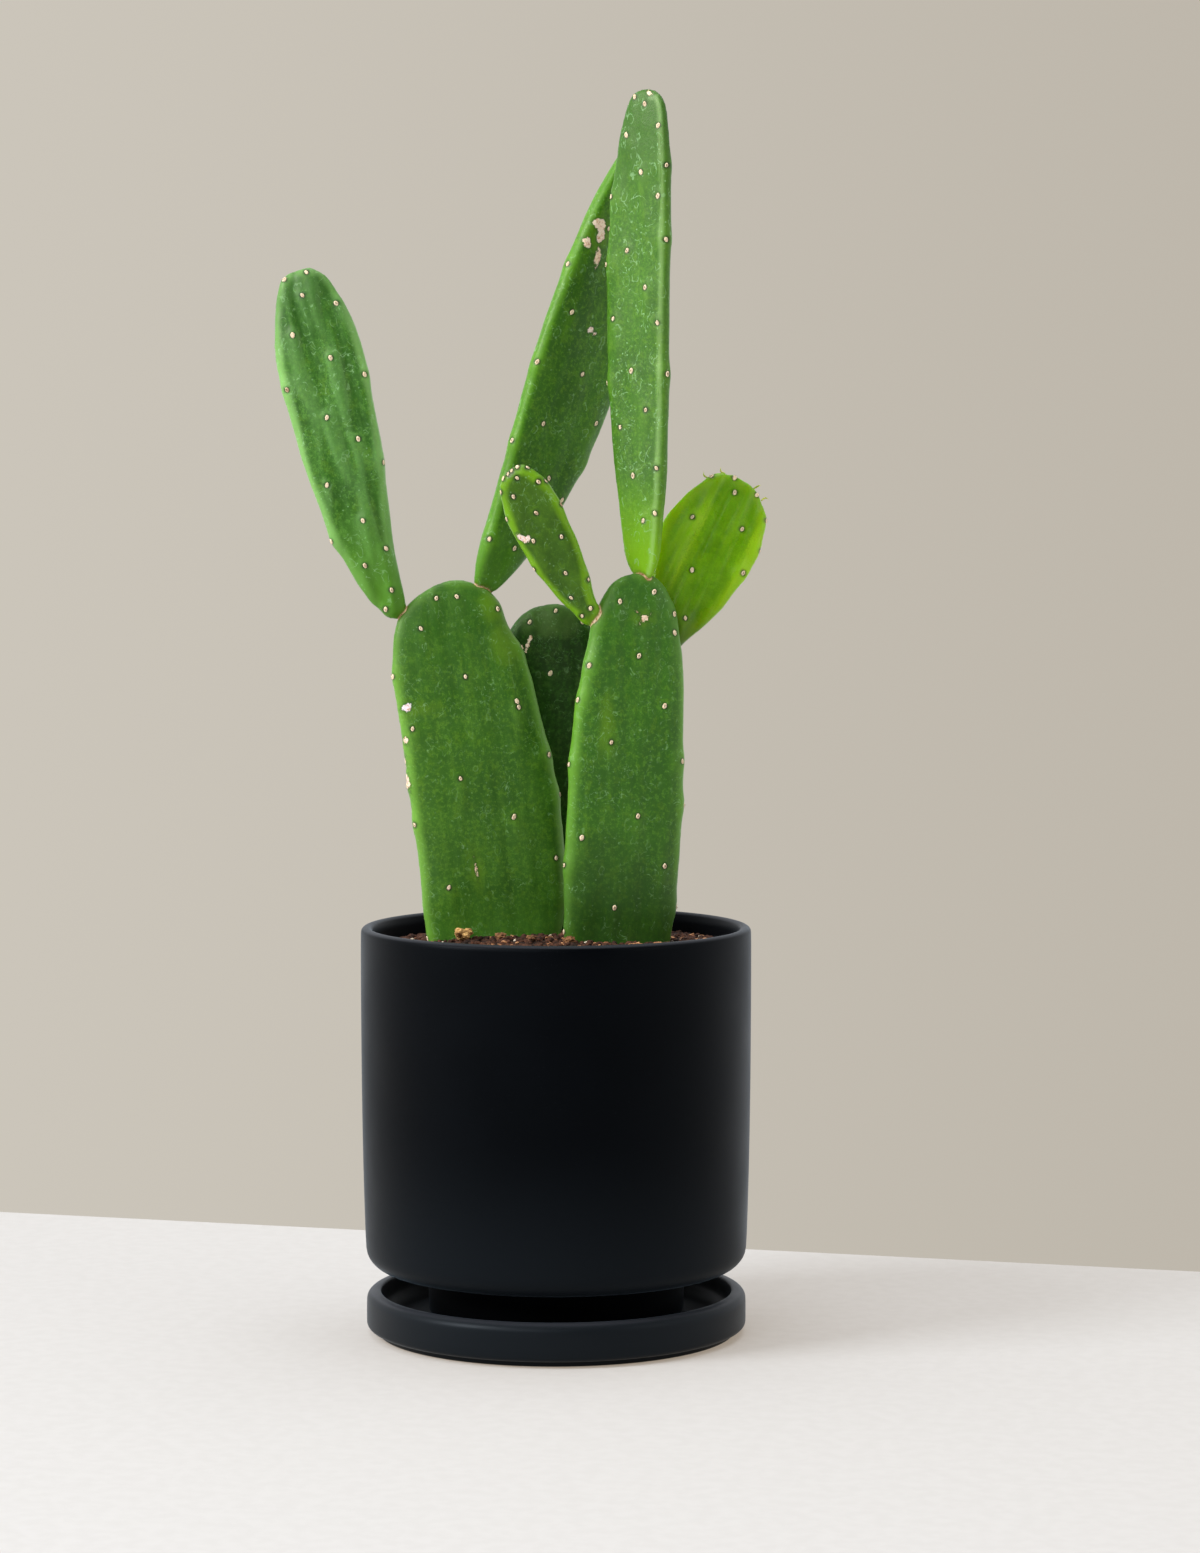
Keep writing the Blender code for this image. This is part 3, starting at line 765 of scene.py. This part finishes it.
class PadFrame:
    """A pad's own directions, found from its points: along, across and out of its face."""

    def __init__(self, points):
        self.middle = points.mean(axis=0)
        _, axes = np.linalg.eigh(np.cov((points - self.middle).T))
        self.along = axes[:, 2] * np.sign(axes[2, 2])
        self.out = -axes[:, 0] * np.sign(axes[1, 0])
        self.across = np.cross(self.along, self.out)
        self.across *= np.sign(self.across[0])
        local = self.local(points)
        self.low, self.high = local[:, 2].min(), local[:, 2].max()
        self.length = self.high - self.low

    def local(self, points):
        """Across, out and along from the middle, in metres."""
        shifted = points - self.middle
        return np.stack((shifted @ self.across, shifted @ self.out, shifted @ self.along), axis=1)

    def world(self, local):
        return self.middle + local @ np.stack((self.across, self.out, self.along))

    def share(self, local):
        return (local[:, 2] - self.low) / self.length

    def sections(self, local, slices=64):
        """Each point's share of the half-width and half-thickness at its height, and the
        distance in millimetres to the outline seen from the front."""
        height = self.share(local)
        across, out = local[:, 0], local[:, 1]
        # Thickness counts from a gently bent and twisted surface through the pad's middle.
        powers = np.stack([height ** k for k in range(4)], axis=1)
        basis = np.hstack((powers, powers * across[:, None]))
        through = out - basis @ np.linalg.lstsq(basis, out, rcond=None)[0]
        index = np.clip((height * slices).astype(int), 0, slices - 1)
        centres = (np.arange(slices) + 0.5) / slices
        left, right, thick = (np.full(slices, np.nan) for _ in range(3))
        for k in range(slices):
            mask = index == k
            if mask.sum() > 8:
                left[k], right[k] = across[mask].min(), across[mask].max()
                thick[k] = np.abs(through[mask]).max()
        known = ~np.isnan(left)
        limits = []
        for values in (left, right, thick):
            padded = np.pad(np.interp(centres, centres[known], values[known]), 1, mode="edge")
            soft = np.convolve(padded, (0.25, 0.5, 0.25), "valid")
            limits.append(np.interp(height, centres, soft))
        low, high, thickness = limits
        reach = np.maximum((high - low) / 2, 1e-4)
        levels = self.low + centres[known] * self.length
        left_side = np.stack((left[known], levels), axis=1)
        right_side = np.stack((right[known], levels), axis=1)
        tip = (0.5 * (left[known][-1] + right[known][-1]), self.high)
        edge = gap_to_lines(local[:, (0, 2)], (left_side, np.vstack((right_side, tip))))
        return ((across - (low + high) / 2) / reach, through / np.maximum(thickness, 1e-4),
                edge / MM)


def gap_to_lines(places, lines, batch=20000):
    """Distance from each place to the nearest of some lines, given as points in order."""
    fine = []
    for line in lines:
        known = np.arange(len(line))
        wanted = np.linspace(0, len(line) - 1, 4 * len(line))
        fine.append(np.stack([np.interp(wanted, known, line[:, c]) for c in (0, 1)], axis=1))
    x, z = np.concatenate(fine).T
    gaps = np.empty(len(places))
    for start in range(0, len(places), batch):
        part = places[start:start + batch]
        squares = (part[:, None, 0] - x) ** 2 + (part[:, None, 1] - z) ** 2
        gaps[start:start + batch] = np.sqrt(squares.min(axis=1))
    return gaps


def nearest_point(local, spot, side):
    """Index of the mesh point at a place on the front (side 1), the back (-1) or, with a side
    near nought, the margin."""
    cost = (local[:, 0] - spot[0]) ** 2 + (local[:, 2] - spot[1]) ** 2
    depth = side * local[:, 1]
    return int(np.argmin(cost + 0.05 * (depth.max() - depth) ** 2))


def edge_reach(local, along, side, band=0.004):
    """How far the pad reaches across at a height, to the left (-1) or right (1)."""
    level = local[np.abs(local[:, 2] - along) < band]
    return side * (side * level[:, 0]).max() if len(level) else 0.0


# The cushions that aren't listed one by one: rows along the pad, columns across its back.
ROW_STEP = 0.013
COLUMN_STEP = 0.030
MARGIN_CLEAR = 0.006


def cushion_spots(look, pad, local):
    """Index of the mesh point of every cushion: the front's own, then back and margins."""
    picked = []

    def add(across, along, side, clear):
        index = nearest_point(local, (across, along), side)
        gaps = [np.linalg.norm(local[index] - local[k]) for k in picked]
        if not gaps or min(gaps) > clear:
            picked.append(index)

    for share, across in look.front:
        add(across * MM, pad.low + share * pad.length, 1, 0.002)
    chance = random.Random(look.name)
    buried = 0.16 if look.parent is None else 0.02
    for row in range(int(pad.length / ROW_STEP)):
        along = pad.low + (buried * pad.length) + (row + 0.5) * ROW_STEP
        if along > pad.high - 0.004:
            break
        left, right = edge_reach(local, along, -1), edge_reach(local, along, 1)
        for side, reach in ((-1, left), (1, right)):
            if row % 2 == (side > 0):
                add(reach, along + chance.uniform(-2, 2) * MM, 0.2, 0.019)
        width = right - left
        columns = max(1, round(width / COLUMN_STEP))
        for column in range(columns + 1):
            across = left + width * (column + 0.5 * (row % 2)) / columns
            if left + MARGIN_CLEAR < across < right - MARGIN_CLEAR:
                add(across + chance.uniform(-2.5, 2.5) * MM,
                    along + chance.uniform(-2.5, 2.5) * MM, -1, 0.017)
    return picked


def ellipse_mm(local, pad, spot, half_across, half_along, degrees=0.0):
    """Roughly how far, in millimetres, each front point is outside an ellipse."""
    dx = (local[:, 0] / MM) - spot[1]
    dz = (local[:, 2] - pad.low) / MM - spot[0] * pad.length / MM
    turn = math.radians(degrees)
    x = dx * math.cos(turn) + dz * math.sin(turn)
    z = dz * math.cos(turn) - dx * math.sin(turn)
    reach = np.sqrt((x / half_across) ** 2 + (z / half_along) ** 2)
    far = (reach - 1) * min(half_across, half_along)
    return np.where(local[:, 1] > -0.002, far, FAR_MM)


# The CAD pads' sections are superellipses of this power.
SECTION_POWER = 2.6
# The most that a section's corners grow, and how much of that shows across and through the pad.
MOST_GROWTH = 1.22
GROWTH_ACROSS = 0.35
GROWTH_THROUGH = 1.2


def squared(pad, local, look):
    """The pad's points with flatter faces and tighter margins, in its own frame."""
    across, through, edge = pad.sections(local)
    x, y = np.clip(np.abs(across), 0, 1.05), np.clip(np.abs(through), 0, 1.05)
    size = (x ** SECTION_POWER + y ** SECTION_POWER) ** (1 / SECTION_POWER)
    wanted = (x ** look.square + y ** look.square) ** (1 / look.square)
    grow = np.clip(size / np.maximum(wanted, 1e-3), 1.0, MOST_GROWTH) - 1
    share = pad.share(local)
    # Nothing grows at the two ends.
    ends = np.clip((share - 0.02) / 0.06, 0, 1) * np.clip((1.0 - share) / 0.04, 0, 1)
    moved = local.copy()
    half_width = np.abs(local[:, 0]) / np.maximum(x, 0.05)
    moved[:, 0] += grow * ends * across * GROWTH_ACROSS * half_width
    moved[:, 1] += grow * ends * local[:, 1] * GROWTH_THROUGH
    return moved, across, edge


# How far out from a cushion, in metres, these fade: the swelling under it, sideways and upwards,
# the knob in its place on a margin, and the pit that the cushion sits in.
SWELL_WIDTH = 0.0036
SWELL_RISE = 0.0035
KNOB_WIDTH = 0.0065
PIT_WIDTH = 0.0015


def pad_relief(look, points, local, across, cushions):
    """How far each point of a pad's skin stands out, in metres, how much of that is crest, in
    millimetres, and how far off the nearest cushion is."""
    ripple = look.ripple * (noise_at(points, 38.0, 3.0) + 0.35 * noise_at(points, 110.0, 9.0))
    stretched = np.stack((local[:, 0], local[:, 1], 0.13 * local[:, 2]), axis=1)
    folds = look.folds * (noise_at(stretched, 120.0, 5.0) + 0.4 * noise_at(stretched, 260.0, 2.0))
    nearest = np.full(len(local), 1.0)
    bumps = np.zeros(len(local))
    for index in cushions:
        offset = local - local[index]
        reach = np.linalg.norm(offset, axis=1)
        nearest = np.minimum(nearest, reach)
        close = reach < 3.2 * look.tail
        rise = offset[close, 2]
        tail = np.where(rise > 0, SWELL_RISE, look.tail)
        flat = reach[close] ** 2 - rise ** 2
        swell = look.swell * np.exp(-flat / SWELL_WIDTH ** 2 - (rise / tail) ** 2)
        if abs(across[index]) > 0.85:
            swell = np.exp(-(reach[close] / KNOB_WIDTH) ** 2)
        pit = np.exp(-(reach[close] / PIT_WIDTH) ** 2)
        bumps[close] += swell - 0.35 * pit
    return (ripple + folds + bumps) * MM, folds + bumps, nearest


# This near its parent, in metres, a pad's relief fades, and nearer still it is drawn into it.
FADE_REACH = 0.004
DRAWN_REACH = 0.0013


def finish_pad(look, mesh, trees):
    """Shape one pad's mesh, give it its fields and show it; returns its frame and cushions."""
    points = points_of(mesh)
    pad = PadFrame(points)
    local, across, edge = squared(pad, pad.local(points), look)
    points = pad.world(local)
    set_points(mesh, points)
    cushions = cushion_spots(look, pad, local)
    relief, crest, nearest = pad_relief(look, points, local, across, cushions)

    joint = np.full(len(points), NEAR)
    moved = points + normals_of(mesh) * relief[:, None]
    if look.parent:
        joint, places = gap_to(trees[look.parent], points)
        firm = np.clip(joint / FADE_REACH, 0, 1)[:, None]
        moved = points + (moved - points) * firm
        drawn = np.clip(1.3 - joint / DRAWN_REACH, 0, 1)[:, None]
        moved += drawn * (places - points) * 1.8
    for child in LOOKS:
        if child.parent == look.name:
            to_child, _ = gap_to(trees[child.name], points)
            joint = np.minimum(joint, to_child)
    set_points(mesh, moved)
    trees[look.name] = surface_tree(mesh)

    share = pad.share(local)
    foot = 0.17 if look.parent is None else 0.0
    carry(mesh, "lie", local)
    carry(mesh, "edge_mm", np.clip(edge, 0, 40))
    carry(mesh, "side", np.clip(across, -1, 1))
    carry(mesh, "crest", np.clip(crest, -2, 2))
    carry(mesh, "neck", np.clip(1 - (share - foot) / look.neck_reach, 0, 1))
    carry(mesh, "tip", np.clip((share - 0.72) / 0.22, 0, 1))
    carry(mesh, "cushion_mm", np.minimum(nearest / MM, 30))
    carry(mesh, "joint_mm", np.minimum(joint / MM, 30))
    carry_marks(look, mesh, pad, local)
    body = new_piece(look.name + "_body", mesh, Skin(look).owner)
    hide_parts(look.name)
    return pad, cushions


def carry_marks(look, mesh, pad, local):
    """The fields for a pad's scars and yellowed patches."""
    scar = np.full(len(local), FAR_MM)
    tint = np.zeros(len(local))
    for *spot, half_across, half_along, degrees, shade in look.scars:
        far = ellipse_mm(local, pad, spot, half_across, half_along, degrees)
        tint = np.where(far < scar, shade, tint)
        scar = np.minimum(scar, far)
    patch = np.full(len(local), FAR_MM)
    for *spot, half_across, half_along in look.patches:
        patch = np.minimum(patch, ellipse_mm(local, pad, spot, half_across, half_along))
    carry(mesh, "scar_mm", np.clip(scar, -10, 30))
    carry(mesh, "scar_tint", tint)
    carry(mesh, "patch_mm", np.clip(patch, -10, 30))


# Half of a cushion's width, height and thickness, in millimetres.
CUSHION_HALF_MM = (0.92, 1.36, 0.66)
# How lumpy a cushion is, and how deep the hollow in its middle, as shares of those.
CUSHION_LUMPS = 0.22
CUSHION_HOLLOW = 0.45
BRISTLE_RADIUS = 0.06 * MM


def add_cushions(look, mesh, pad, cushions, wool, straw):
    """Felted cushions with short bristles, each set in its dimple."""
    points, normals = points_of(mesh), normals_of(mesh)
    unit, faces = unit_ball(3)
    chance = random.Random("cushions of " + look.name)
    all_points, all_faces, all_hollow_shade = [], [], []
    hair_points, hair_faces = [], []
    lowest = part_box("soil")[1][2] - (0.002 if look.parent is None else 0.006)
    for index in cushions:
        foot, out = Vector(points[index]), Vector(normals[index]).normalized()
        if foot.z < lowest:
            continue
        up = Vector(pad.along)
        up = (up - up.dot(out) * out).normalized()
        side = up.cross(out)
        size = look.cushion * chance.uniform(0.85, 1.2)
        tilt = chance.uniform(-0.5, 0.5)
        up, side = (up * math.cos(tilt) + side * math.sin(tilt),
                    side * math.cos(tilt) - up * math.sin(tilt))
        wide, tall, thick = (half * size * MM for half in CUSHION_HALF_MM)
        shift = Vector((index * 0.37, 0, 0))
        lumps = np.array([noise.noise(Vector(p) * 2.3 + shift) for p in unit])
        shape = unit * (1 + CUSHION_LUMPS * lumps)[:, None]
        hollow = np.exp(-((shape[:, 0] ** 2 + shape[:, 1] ** 2) / 0.20)) * (shape[:, 2] > 0)
        lift = shape[:, 2] - CUSHION_HOLLOW * hollow
        base = len(all_points)
        for (x, y, _), z in zip(shape, lift):
            all_points.append(foot + side * (x * wide) + up * (y * tall) + out * (z * thick))
        # How much painted shade each point of the cushion's hollow takes.
        all_hollow_shade.extend(np.clip(hollow, 0, 1) * chance.choice((0.2, 0.7, 1.0)))
        all_faces.extend([[base + k for k in face] for face in faces])
        for _ in range(chance.randint(7, 12)):
            swing = chance.uniform(0, 2 * math.pi)
            spread = chance.uniform(0.25, 1.1)
            x, y = math.cos(swing), math.sin(swing)
            aim = (out + spread * (x * side + y * up)).normalized()
            root = foot + out * thick * 0.4 + (x * side * wide + y * up * tall) * 0.55
            length = chance.uniform(0.5, 1.2) * size * MM
            add_hair(hair_points, hair_faces, root, aim, length, BRISTLE_RADIUS)

    name = look.name + "_cushions"
    cushion_mesh = mesh_of(name, all_points, all_faces)
    carry(cushion_mesh, "depth", np.array(all_hollow_shade))
    new_piece(name, cushion_mesh, wool)
    name = look.name + "_bristles"
    new_piece(name, mesh_of(name, hair_points, hair_faces), straw)


def add_hair(points, faces, root, aim, length, radius, sides=4):
    """One closed thin spike."""
    turn = aim.to_track_quat("Z", "Y")
    base = len(points)
    for k in range(sides):
        angle = 2 * math.pi * k / sides
        points.append(root + turn @ Vector((radius * math.cos(angle), radius * math.sin(angle), 0)))
    points.append(root + aim * length)
    points.append(root - aim * radius)
    for k in range(sides):
        after = (k + 1) % sides
        faces.append([base + k, base + after, base + sides])
        faces.append([base + after, base + k, base + sides + 1])


def build_pads():
    """All the pads; returns each one's finished surface, to keep the soil's litter out of it."""
    wool, straw = cushion_material(), bristle_material()
    meshes = {look.name: remeshed(look.name, look.voxel) for look in LOOKS}
    for name, mesh in meshes.items():
        drawn_to_cad(mesh, name)
    trees = {name: surface_tree(mesh) for name, mesh in meshes.items()}
    for look in LOOKS:
        mesh = meshes[look.name]
        pad, cushions = finish_pad(look, mesh, trees)
        add_cushions(look, mesh, pad, cushions, wool, straw)
    return trees


# ---- young leaves


LEAF_RINGS = 14
LEAF_SIDES = 10
LEAF_RADIUS = 0.00062
LEAF_TIP_RADIUS = 0.00003
# A leaf starts this far inside its pad, and arches by this share of its length.
LEAF_SINK = 0.0006
LEAF_ARCH = 0.30


def leaf_radius(share):
    """Full near the root and tapering to the tip."""
    fullness = math.sqrt(max(math.sin(math.pi * min(share + 0.14, 1.0)), 0.0))
    return max(LEAF_RADIUS * fullness * (1 - 0.6 * share), LEAF_TIP_RADIUS)


def hook_mesh(name, root, out, length, bend):
    """One closed leaf that runs out from its root and arches towards bend."""
    turn = out.to_track_quat("Z", "Y")
    points, faces = [], []
    for ring in range(LEAF_RINGS + 1):
        share = ring / LEAF_RINGS
        arch = LEAF_ARCH * length * math.sin(math.pi * share)
        middle = root + out * (share * length - LEAF_SINK) + bend * arch
        for k in range(LEAF_SIDES):
            angle = 2 * math.pi * k / LEAF_SIDES
            spoke = turn @ Vector((math.cos(angle), math.sin(angle), 0))
            points.append(middle + spoke * leaf_radius(share))
    for ring in range(LEAF_RINGS):
        for k in range(LEAF_SIDES):
            a, b = ring * LEAF_SIDES + k, ring * LEAF_SIDES + (k + 1) % LEAF_SIDES
            faces.append([a, b, b + LEAF_SIDES, a + LEAF_SIDES])
    faces.append(list(range(LEAF_SIDES))[::-1])
    faces.append([LEAF_RINGS * LEAF_SIDES + k for k in range(LEAF_SIDES)])
    return mesh_of(name, points, faces)


def build_leaves():
    """Hooked, tapering leaves in place of the plain CAD ones."""
    flesh = leaf_material()
    low, high = (Vector(c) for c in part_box("young_pad_right"))
    pad_middle = np.array((low + high) / 2)
    for number in range(1, 5):
        node = f"young_leaf_{number}"
        low, high = (Vector(c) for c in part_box(node))
        cad = points_of(frame["nodes"][node].data)
        far = np.linalg.norm(cad - pad_middle, axis=1)
        root, end = Vector(cad[far.argmin()]), Vector(cad[far.argmax()])
        out = (end - root).normalized()
        bend = (low + high) / 2 - (root + end) / 2
        bend -= bend.dot(out) * out
        bend = bend.normalized() if bend.length > 1e-6 else Vector((0, -1, 0))
        mesh = hook_mesh(node + "_hook", root, out, (end - root).length, bend)
        piece = new_piece(node + "_hook", mesh, flesh)
        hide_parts(node)


# ---- pot and saucer


def section_of(node):
    """A turned CAD node's profile: points (radius, height) in order, and if it is closed."""
    shape = welded(node)
    on_plane = {v for v in shape.verts if abs(v.co.y) < 1e-5 and v.co.x > -1e-5}
    steps = {v: [e.other_vert(v) for e in v.link_edges if e.other_vert(v) in on_plane]
             for v in on_plane}
    ends = [v for v in on_plane if len(steps[v]) == 1]
    start = max(ends or on_plane, key=lambda v: (v.co.z, v.co.x))
    chain, before = [start], None
    while True:
        onward = [v for v in steps[chain[-1]] if v is not before and v not in chain]
        if not onward:
            break
        before = chain[-1]
        chain.append(onward[0])
    profile = [(v.co.x, v.co.z) for v in chain]
    shape.free()
    return profile, not ends


TURN_STEPS = 160
# An extra ring this far inside a disc's edge, in metres, keeps the edge crisp when it is rounded.
DISC_EDGE = 0.004


def turned_again(node, finish):
    """The CAD node's section turned finely, replacing its faceted solid."""
    profile, closed = section_of(node)
    if not closed:
        # A flat disc has no point of its own at the centre, so both ends go to the axis.
        top, bottom = profile[0], profile[-1]
        profile = ([(0.0, top[1]), (top[0] - DISC_EDGE, top[1])] + profile
                   + [(bottom[0] - DISC_EDGE, bottom[1]), (0.0, bottom[1])])
    shape = bmesh.new()
    points = [shape.verts.new((r, 0.0, z)) for r, z in profile]
    for first, second in zip(points, points[1:]):
        shape.edges.new((first, second))
    if closed:
        shape.edges.new((points[-1], points[0]))
    mesh = bpy.data.meshes.new(node + "_turned")
    shape.to_mesh(mesh)
    shape.free()
    thing = in_scene("work", mesh)
    screw = thing.modifiers.new("turn", "SCREW")
    screw.steps = screw.render_steps = TURN_STEPS
    screw.use_merge_vertices = True
    screw.merge_threshold = 0.00001
    rounder = thing.modifiers.new("rounder", "SUBSURF")
    rounder.levels = rounder.render_levels = 1
    made = evaluated(thing)
    fixed = bmesh.new()
    fixed.from_mesh(made)
    bmesh.ops.recalc_face_normals(fixed, faces=fixed.faces)
    fixed.to_mesh(made)
    fixed.free()
    piece = new_piece(node + "_body", made, finish)
    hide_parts(node)


def build_planter():
    pot_rim, saucer_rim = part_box("pot")[1][2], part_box("saucer")[1][2]
    # The saucer's base colour is a lighter copy of the pot's, painted light from the table beside
    # it.
    pot_glaze = glaze_material("pot_glaze", pot_rim, srgb(2, 3, 5), 0.055)
    saucer_glaze = glaze_material("saucer_glaze", saucer_rim, srgb(5, 7, 10), 0.12)
    turned_again("pot", pot_glaze)
    turned_again("saucer", saucer_glaze)


# ---- soil


def lump_mesh(name, places, subdivisions, chance):
    """Many small broken lumps in one mesh; places are (centre, size, flatness)."""
    unit, faces = unit_ball(subdivisions)
    points, polygons = [], []
    for centre, size, flatness in places:
        shift = Vector((chance.uniform(0, 90), chance.uniform(0, 90), 0))
        rough = np.array([noise.noise(Vector(p) * 1.6 + shift) for p in unit])
        stretch = np.array((chance.uniform(0.7, 1.5), chance.uniform(0.7, 1.2), flatness))
        turn = Matrix.Rotation(chance.uniform(0, 6.3), 3, "Z") @ Matrix.Rotation(
            chance.uniform(-0.5, 0.5), 3, "X")
        shape = unit * (1 + 0.55 * rough)[:, None] * stretch * size
        base = len(points)
        points.extend(Vector(centre) + turn @ Vector(p) for p in shape)
        polygons.extend([[base + k for k in face] for face in faces])
    return mesh_of(name, points, polygons)


SOIL_VOXEL = 0.0019
# How far the soil's and the bark's own grain stands out, in metres.
SOIL_RELIEF = 0.0009
BARK_RELIEF = 0.0004
# What lies loose on the soil: name, pieces, smallest and largest size in metres, flatness,
# and its dark and light colours.
LITTER = (
    ("crumbs", 2600, 0.0006, 0.0019, 0.7, srgb(20, 12, 9), srgb(92, 56, 38)),
    ("fibres", 520, 0.0008, 0.0020, 0.35, srgb(112, 66, 40), srgb(214, 158, 112)),
    ("grit", 110, 0.0005, 0.0012, 0.8, srgb(170, 150, 128), srgb(226, 212, 190)),
)
BARK = ("bark_lump", "soil_chip_left", "soil_chip_middle", "soil_chip_right", "soil_chip_back")


def build_soil(pads):
    """Coarse potting mix: a rough body with crumbs, fibres, pale grit and bark on top."""
    earth = soil_material("earth", srgb(20, 12, 9), srgb(56, 34, 24))
    mesh = remeshed("soil", SOIL_VOXEL, levels=0)
    points, normals = points_of(mesh), normals_of(mesh)
    top = normals[:, 2] > 0.6
    rough = noise_at(points, 260.0, 2.0) + 0.6 * noise_at(points, 700.0, 4.0)
    points[top, 2] += SOIL_RELIEF * rough[top]
    set_points(mesh, points)
    body = new_piece("soil_body", mesh, earth)
    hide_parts("soil")

    tree = surface_tree(mesh)
    low, high = (Vector(c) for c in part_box("soil"))
    reach = (high.x - low.x) / 2 - 0.002
    chance = random.Random(11)

    def spots(count, smallest, largest, flatness):
        found = []
        while len(found) < count:
            angle, radius = chance.uniform(0, 2 * math.pi), reach * math.sqrt(chance.random())
            size = chance.uniform(smallest, largest)
            start = Vector((radius * math.cos(angle), radius * math.sin(angle), high.z + 0.02))
            place, normal, _, _ = tree.ray_cast(start, Vector((0, 0, -1)))
            if place is None or normal.z < 0.5 or place.z < high.z - 0.02:
                continue
            lifted = place + Vector((0, 0, size * 0.25))
            if any(pad.find_nearest(lifted, size * 0.6)[0] for pad in pads.values()):
                continue
            found.append((lifted, size, flatness))
        return found

    for name, count, smallest, largest, flatness, dark, light in LITTER:
        lumps = lump_mesh("soil_" + name, spots(count, smallest, largest, flatness), 2, chance)
        new_piece("soil_" + name, lumps, soil_material(name, dark, light))
    build_bark()


def build_bark():
    """The bark lump and chips: rough lumps, each as large as its CAD node's box."""
    bark = soil_material("bark", srgb(150, 104, 58), srgb(226, 182, 116), 0.85)
    chip = soil_material("weathered_bark", srgb(84, 54, 34), srgb(150, 106, 68))
    for node in BARK:
        first, last = (Vector(c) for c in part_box(node))
        size = (last - first) / 2
        lump = lump_mesh(node + "_rough", [(Vector((0, 0, 0)), 1.0, 0.9)], 5, random.Random(node))
        places = points_of(lump)
        centre = (places.max(axis=0) + places.min(axis=0)) / 2
        extent = (places.max(axis=0) - places.min(axis=0)) / 2
        places = (places - centre) / extent * np.array(size) + np.array((first + last) / 2)
        places += normals_of(lump) * (BARK_RELIEF * noise_at(places, 900.0))[:, None]
        set_points(lump, places)
        piece = new_piece(node + "_rough", lump, bark if node == "bark_lump" else chip)
        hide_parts(node)


# ---- stage


CAMERA_PLACE = (0.0226, -2.10, 0.4274)
CAMERA_PITCH = math.radians(3.816)
LENS_MM = 95.0
TABLE_BACK = 0.26
TABLE_TURN = math.radians(-15.5)
TABLE_SIZE = (6.0, 4.0, 0.04)
TABLE_GAP = 0.0001


def backdrop():
    """A warm grey wall to the camera; as light it is bright behind and beside the plant."""
    world = bpy.data.worlds.new("surround")
    bpy.context.scene.world = world
    g = Graph(world)
    g.tree.nodes.clear()
    x, y, _ = g.node("SeparateXYZ", {0: g.node("TexCoord").outputs["Generated"]}).outputs
    # The wall is painted lighter on the left and darker on the right, as light falling off across
    # it.
    wall = g.mix(g.rise(x, -0.25, 0.25), srgb(205, 199, 188), srgb(188, 181, 169))
    around = g.plus(g.math("ABSOLUTE", x), y)
    glow = g.mix(g.rise(around, -0.3, 1.1), (0.05, 0.05, 0.05, 1.0), (0.92, 0.93, 0.95, 1.0))
    seen = g.node("Background", {"Color": wall}).outputs[0]
    lit = g.node("Background", {"Color": glow}).outputs[0]
    to_camera = g.node("LightPath").outputs["Is Camera Ray"]
    both = g.node("MixShader", {0: to_camera, 1: lit, 2: seen}).outputs[0]
    g.node("OutputWorld", {"Surface": both})


def table_top():
    """A plain pale table top whose back edge runs askew behind the pot, glowing a warm painted
    light of its own.
    """
    g = new_graph("table_paint")
    grain = g.noise(g.place(), 120.0, 3.0)
    # A warm glow lightens and warms the table's shadows as painted light; the bluish base keeps the
    # lit part neutral.
    g.set(Base_Color=g.mix(g.rise(grain, 0.3, 0.7), srgb(160, 164, 168), srgb(164, 168, 172)),
          Roughness=0.8, Specular_IOR_Level=0.0,
          Emission_Color=(1.0, 0.81, 0.61, 1.0), Emission_Strength=0.285)
    shape = bmesh.new()
    bmesh.ops.create_cube(shape, size=1.0)
    bmesh.ops.scale(shape, vec=TABLE_SIZE, verts=shape.verts)
    middle = (0, -TABLE_SIZE[1] / 2, -TABLE_SIZE[2] / 2 - TABLE_GAP)
    bmesh.ops.translate(shape, vec=middle, verts=shape.verts)
    mesh = bpy.data.meshes.new("table_top")
    shape.to_mesh(mesh)
    shape.free()
    mesh.materials.append(g.owner)
    top = in_scene("table_top", mesh)
    top.rotation_euler.z = TABLE_TURN
    top.location.y = TABLE_BACK


def soft_light(name, place, target, size, power, colour=(1, 1, 1)):
    """A wide lamp that the camera doesn't see; size in metres, power in watts."""
    data = bpy.data.lights.new(name, "AREA")
    data.shape = "RECTANGLE"
    data.size, data.size_y = size
    data.energy = power
    data.color = colour
    lamp = in_scene(name, data)
    lamp.visible_camera = False
    lamp.location = place
    aim = Vector(target) - Vector(place)
    lamp.rotation_euler = aim.to_track_quat("-Z", "Y").to_euler()


def build_stage():
    backdrop()
    table_top()
    soft_light("key_left", (-2.7, -1.3, 2.2), (0, 0, 0.30), (1.4, 2.0), 124)
    soft_light("front_fill", (-1.5, -3.4, 2.3), (0, 0, 0.25), (2.6, 1.8), 50)
    soft_light("fill_right", (2.6, -1.6, 1.4), (0, 0, 0.30), (1.8, 1.8), 14, (1.0, 0.95, 0.88))
    soft_light("overhead", (0.0, 0.0, 3.4), (0, 0, 0.0), (2.6, 2.6), 52)
    camera = bpy.data.cameras.new("camera")
    camera.sensor_width = 36.0
    camera.lens = LENS_MM
    eye = in_scene("camera", camera)
    eye.location = CAMERA_PLACE
    eye.rotation_euler = (math.pi / 2 - CAMERA_PITCH, 0.0, 0.0)
    bpy.context.scene.camera = eye
    bpy.context.scene.view_settings.view_transform = "Standard"


build_planter()
pad_surfaces = build_pads()
build_leaves()
build_soil(pad_surfaces)
build_stage()
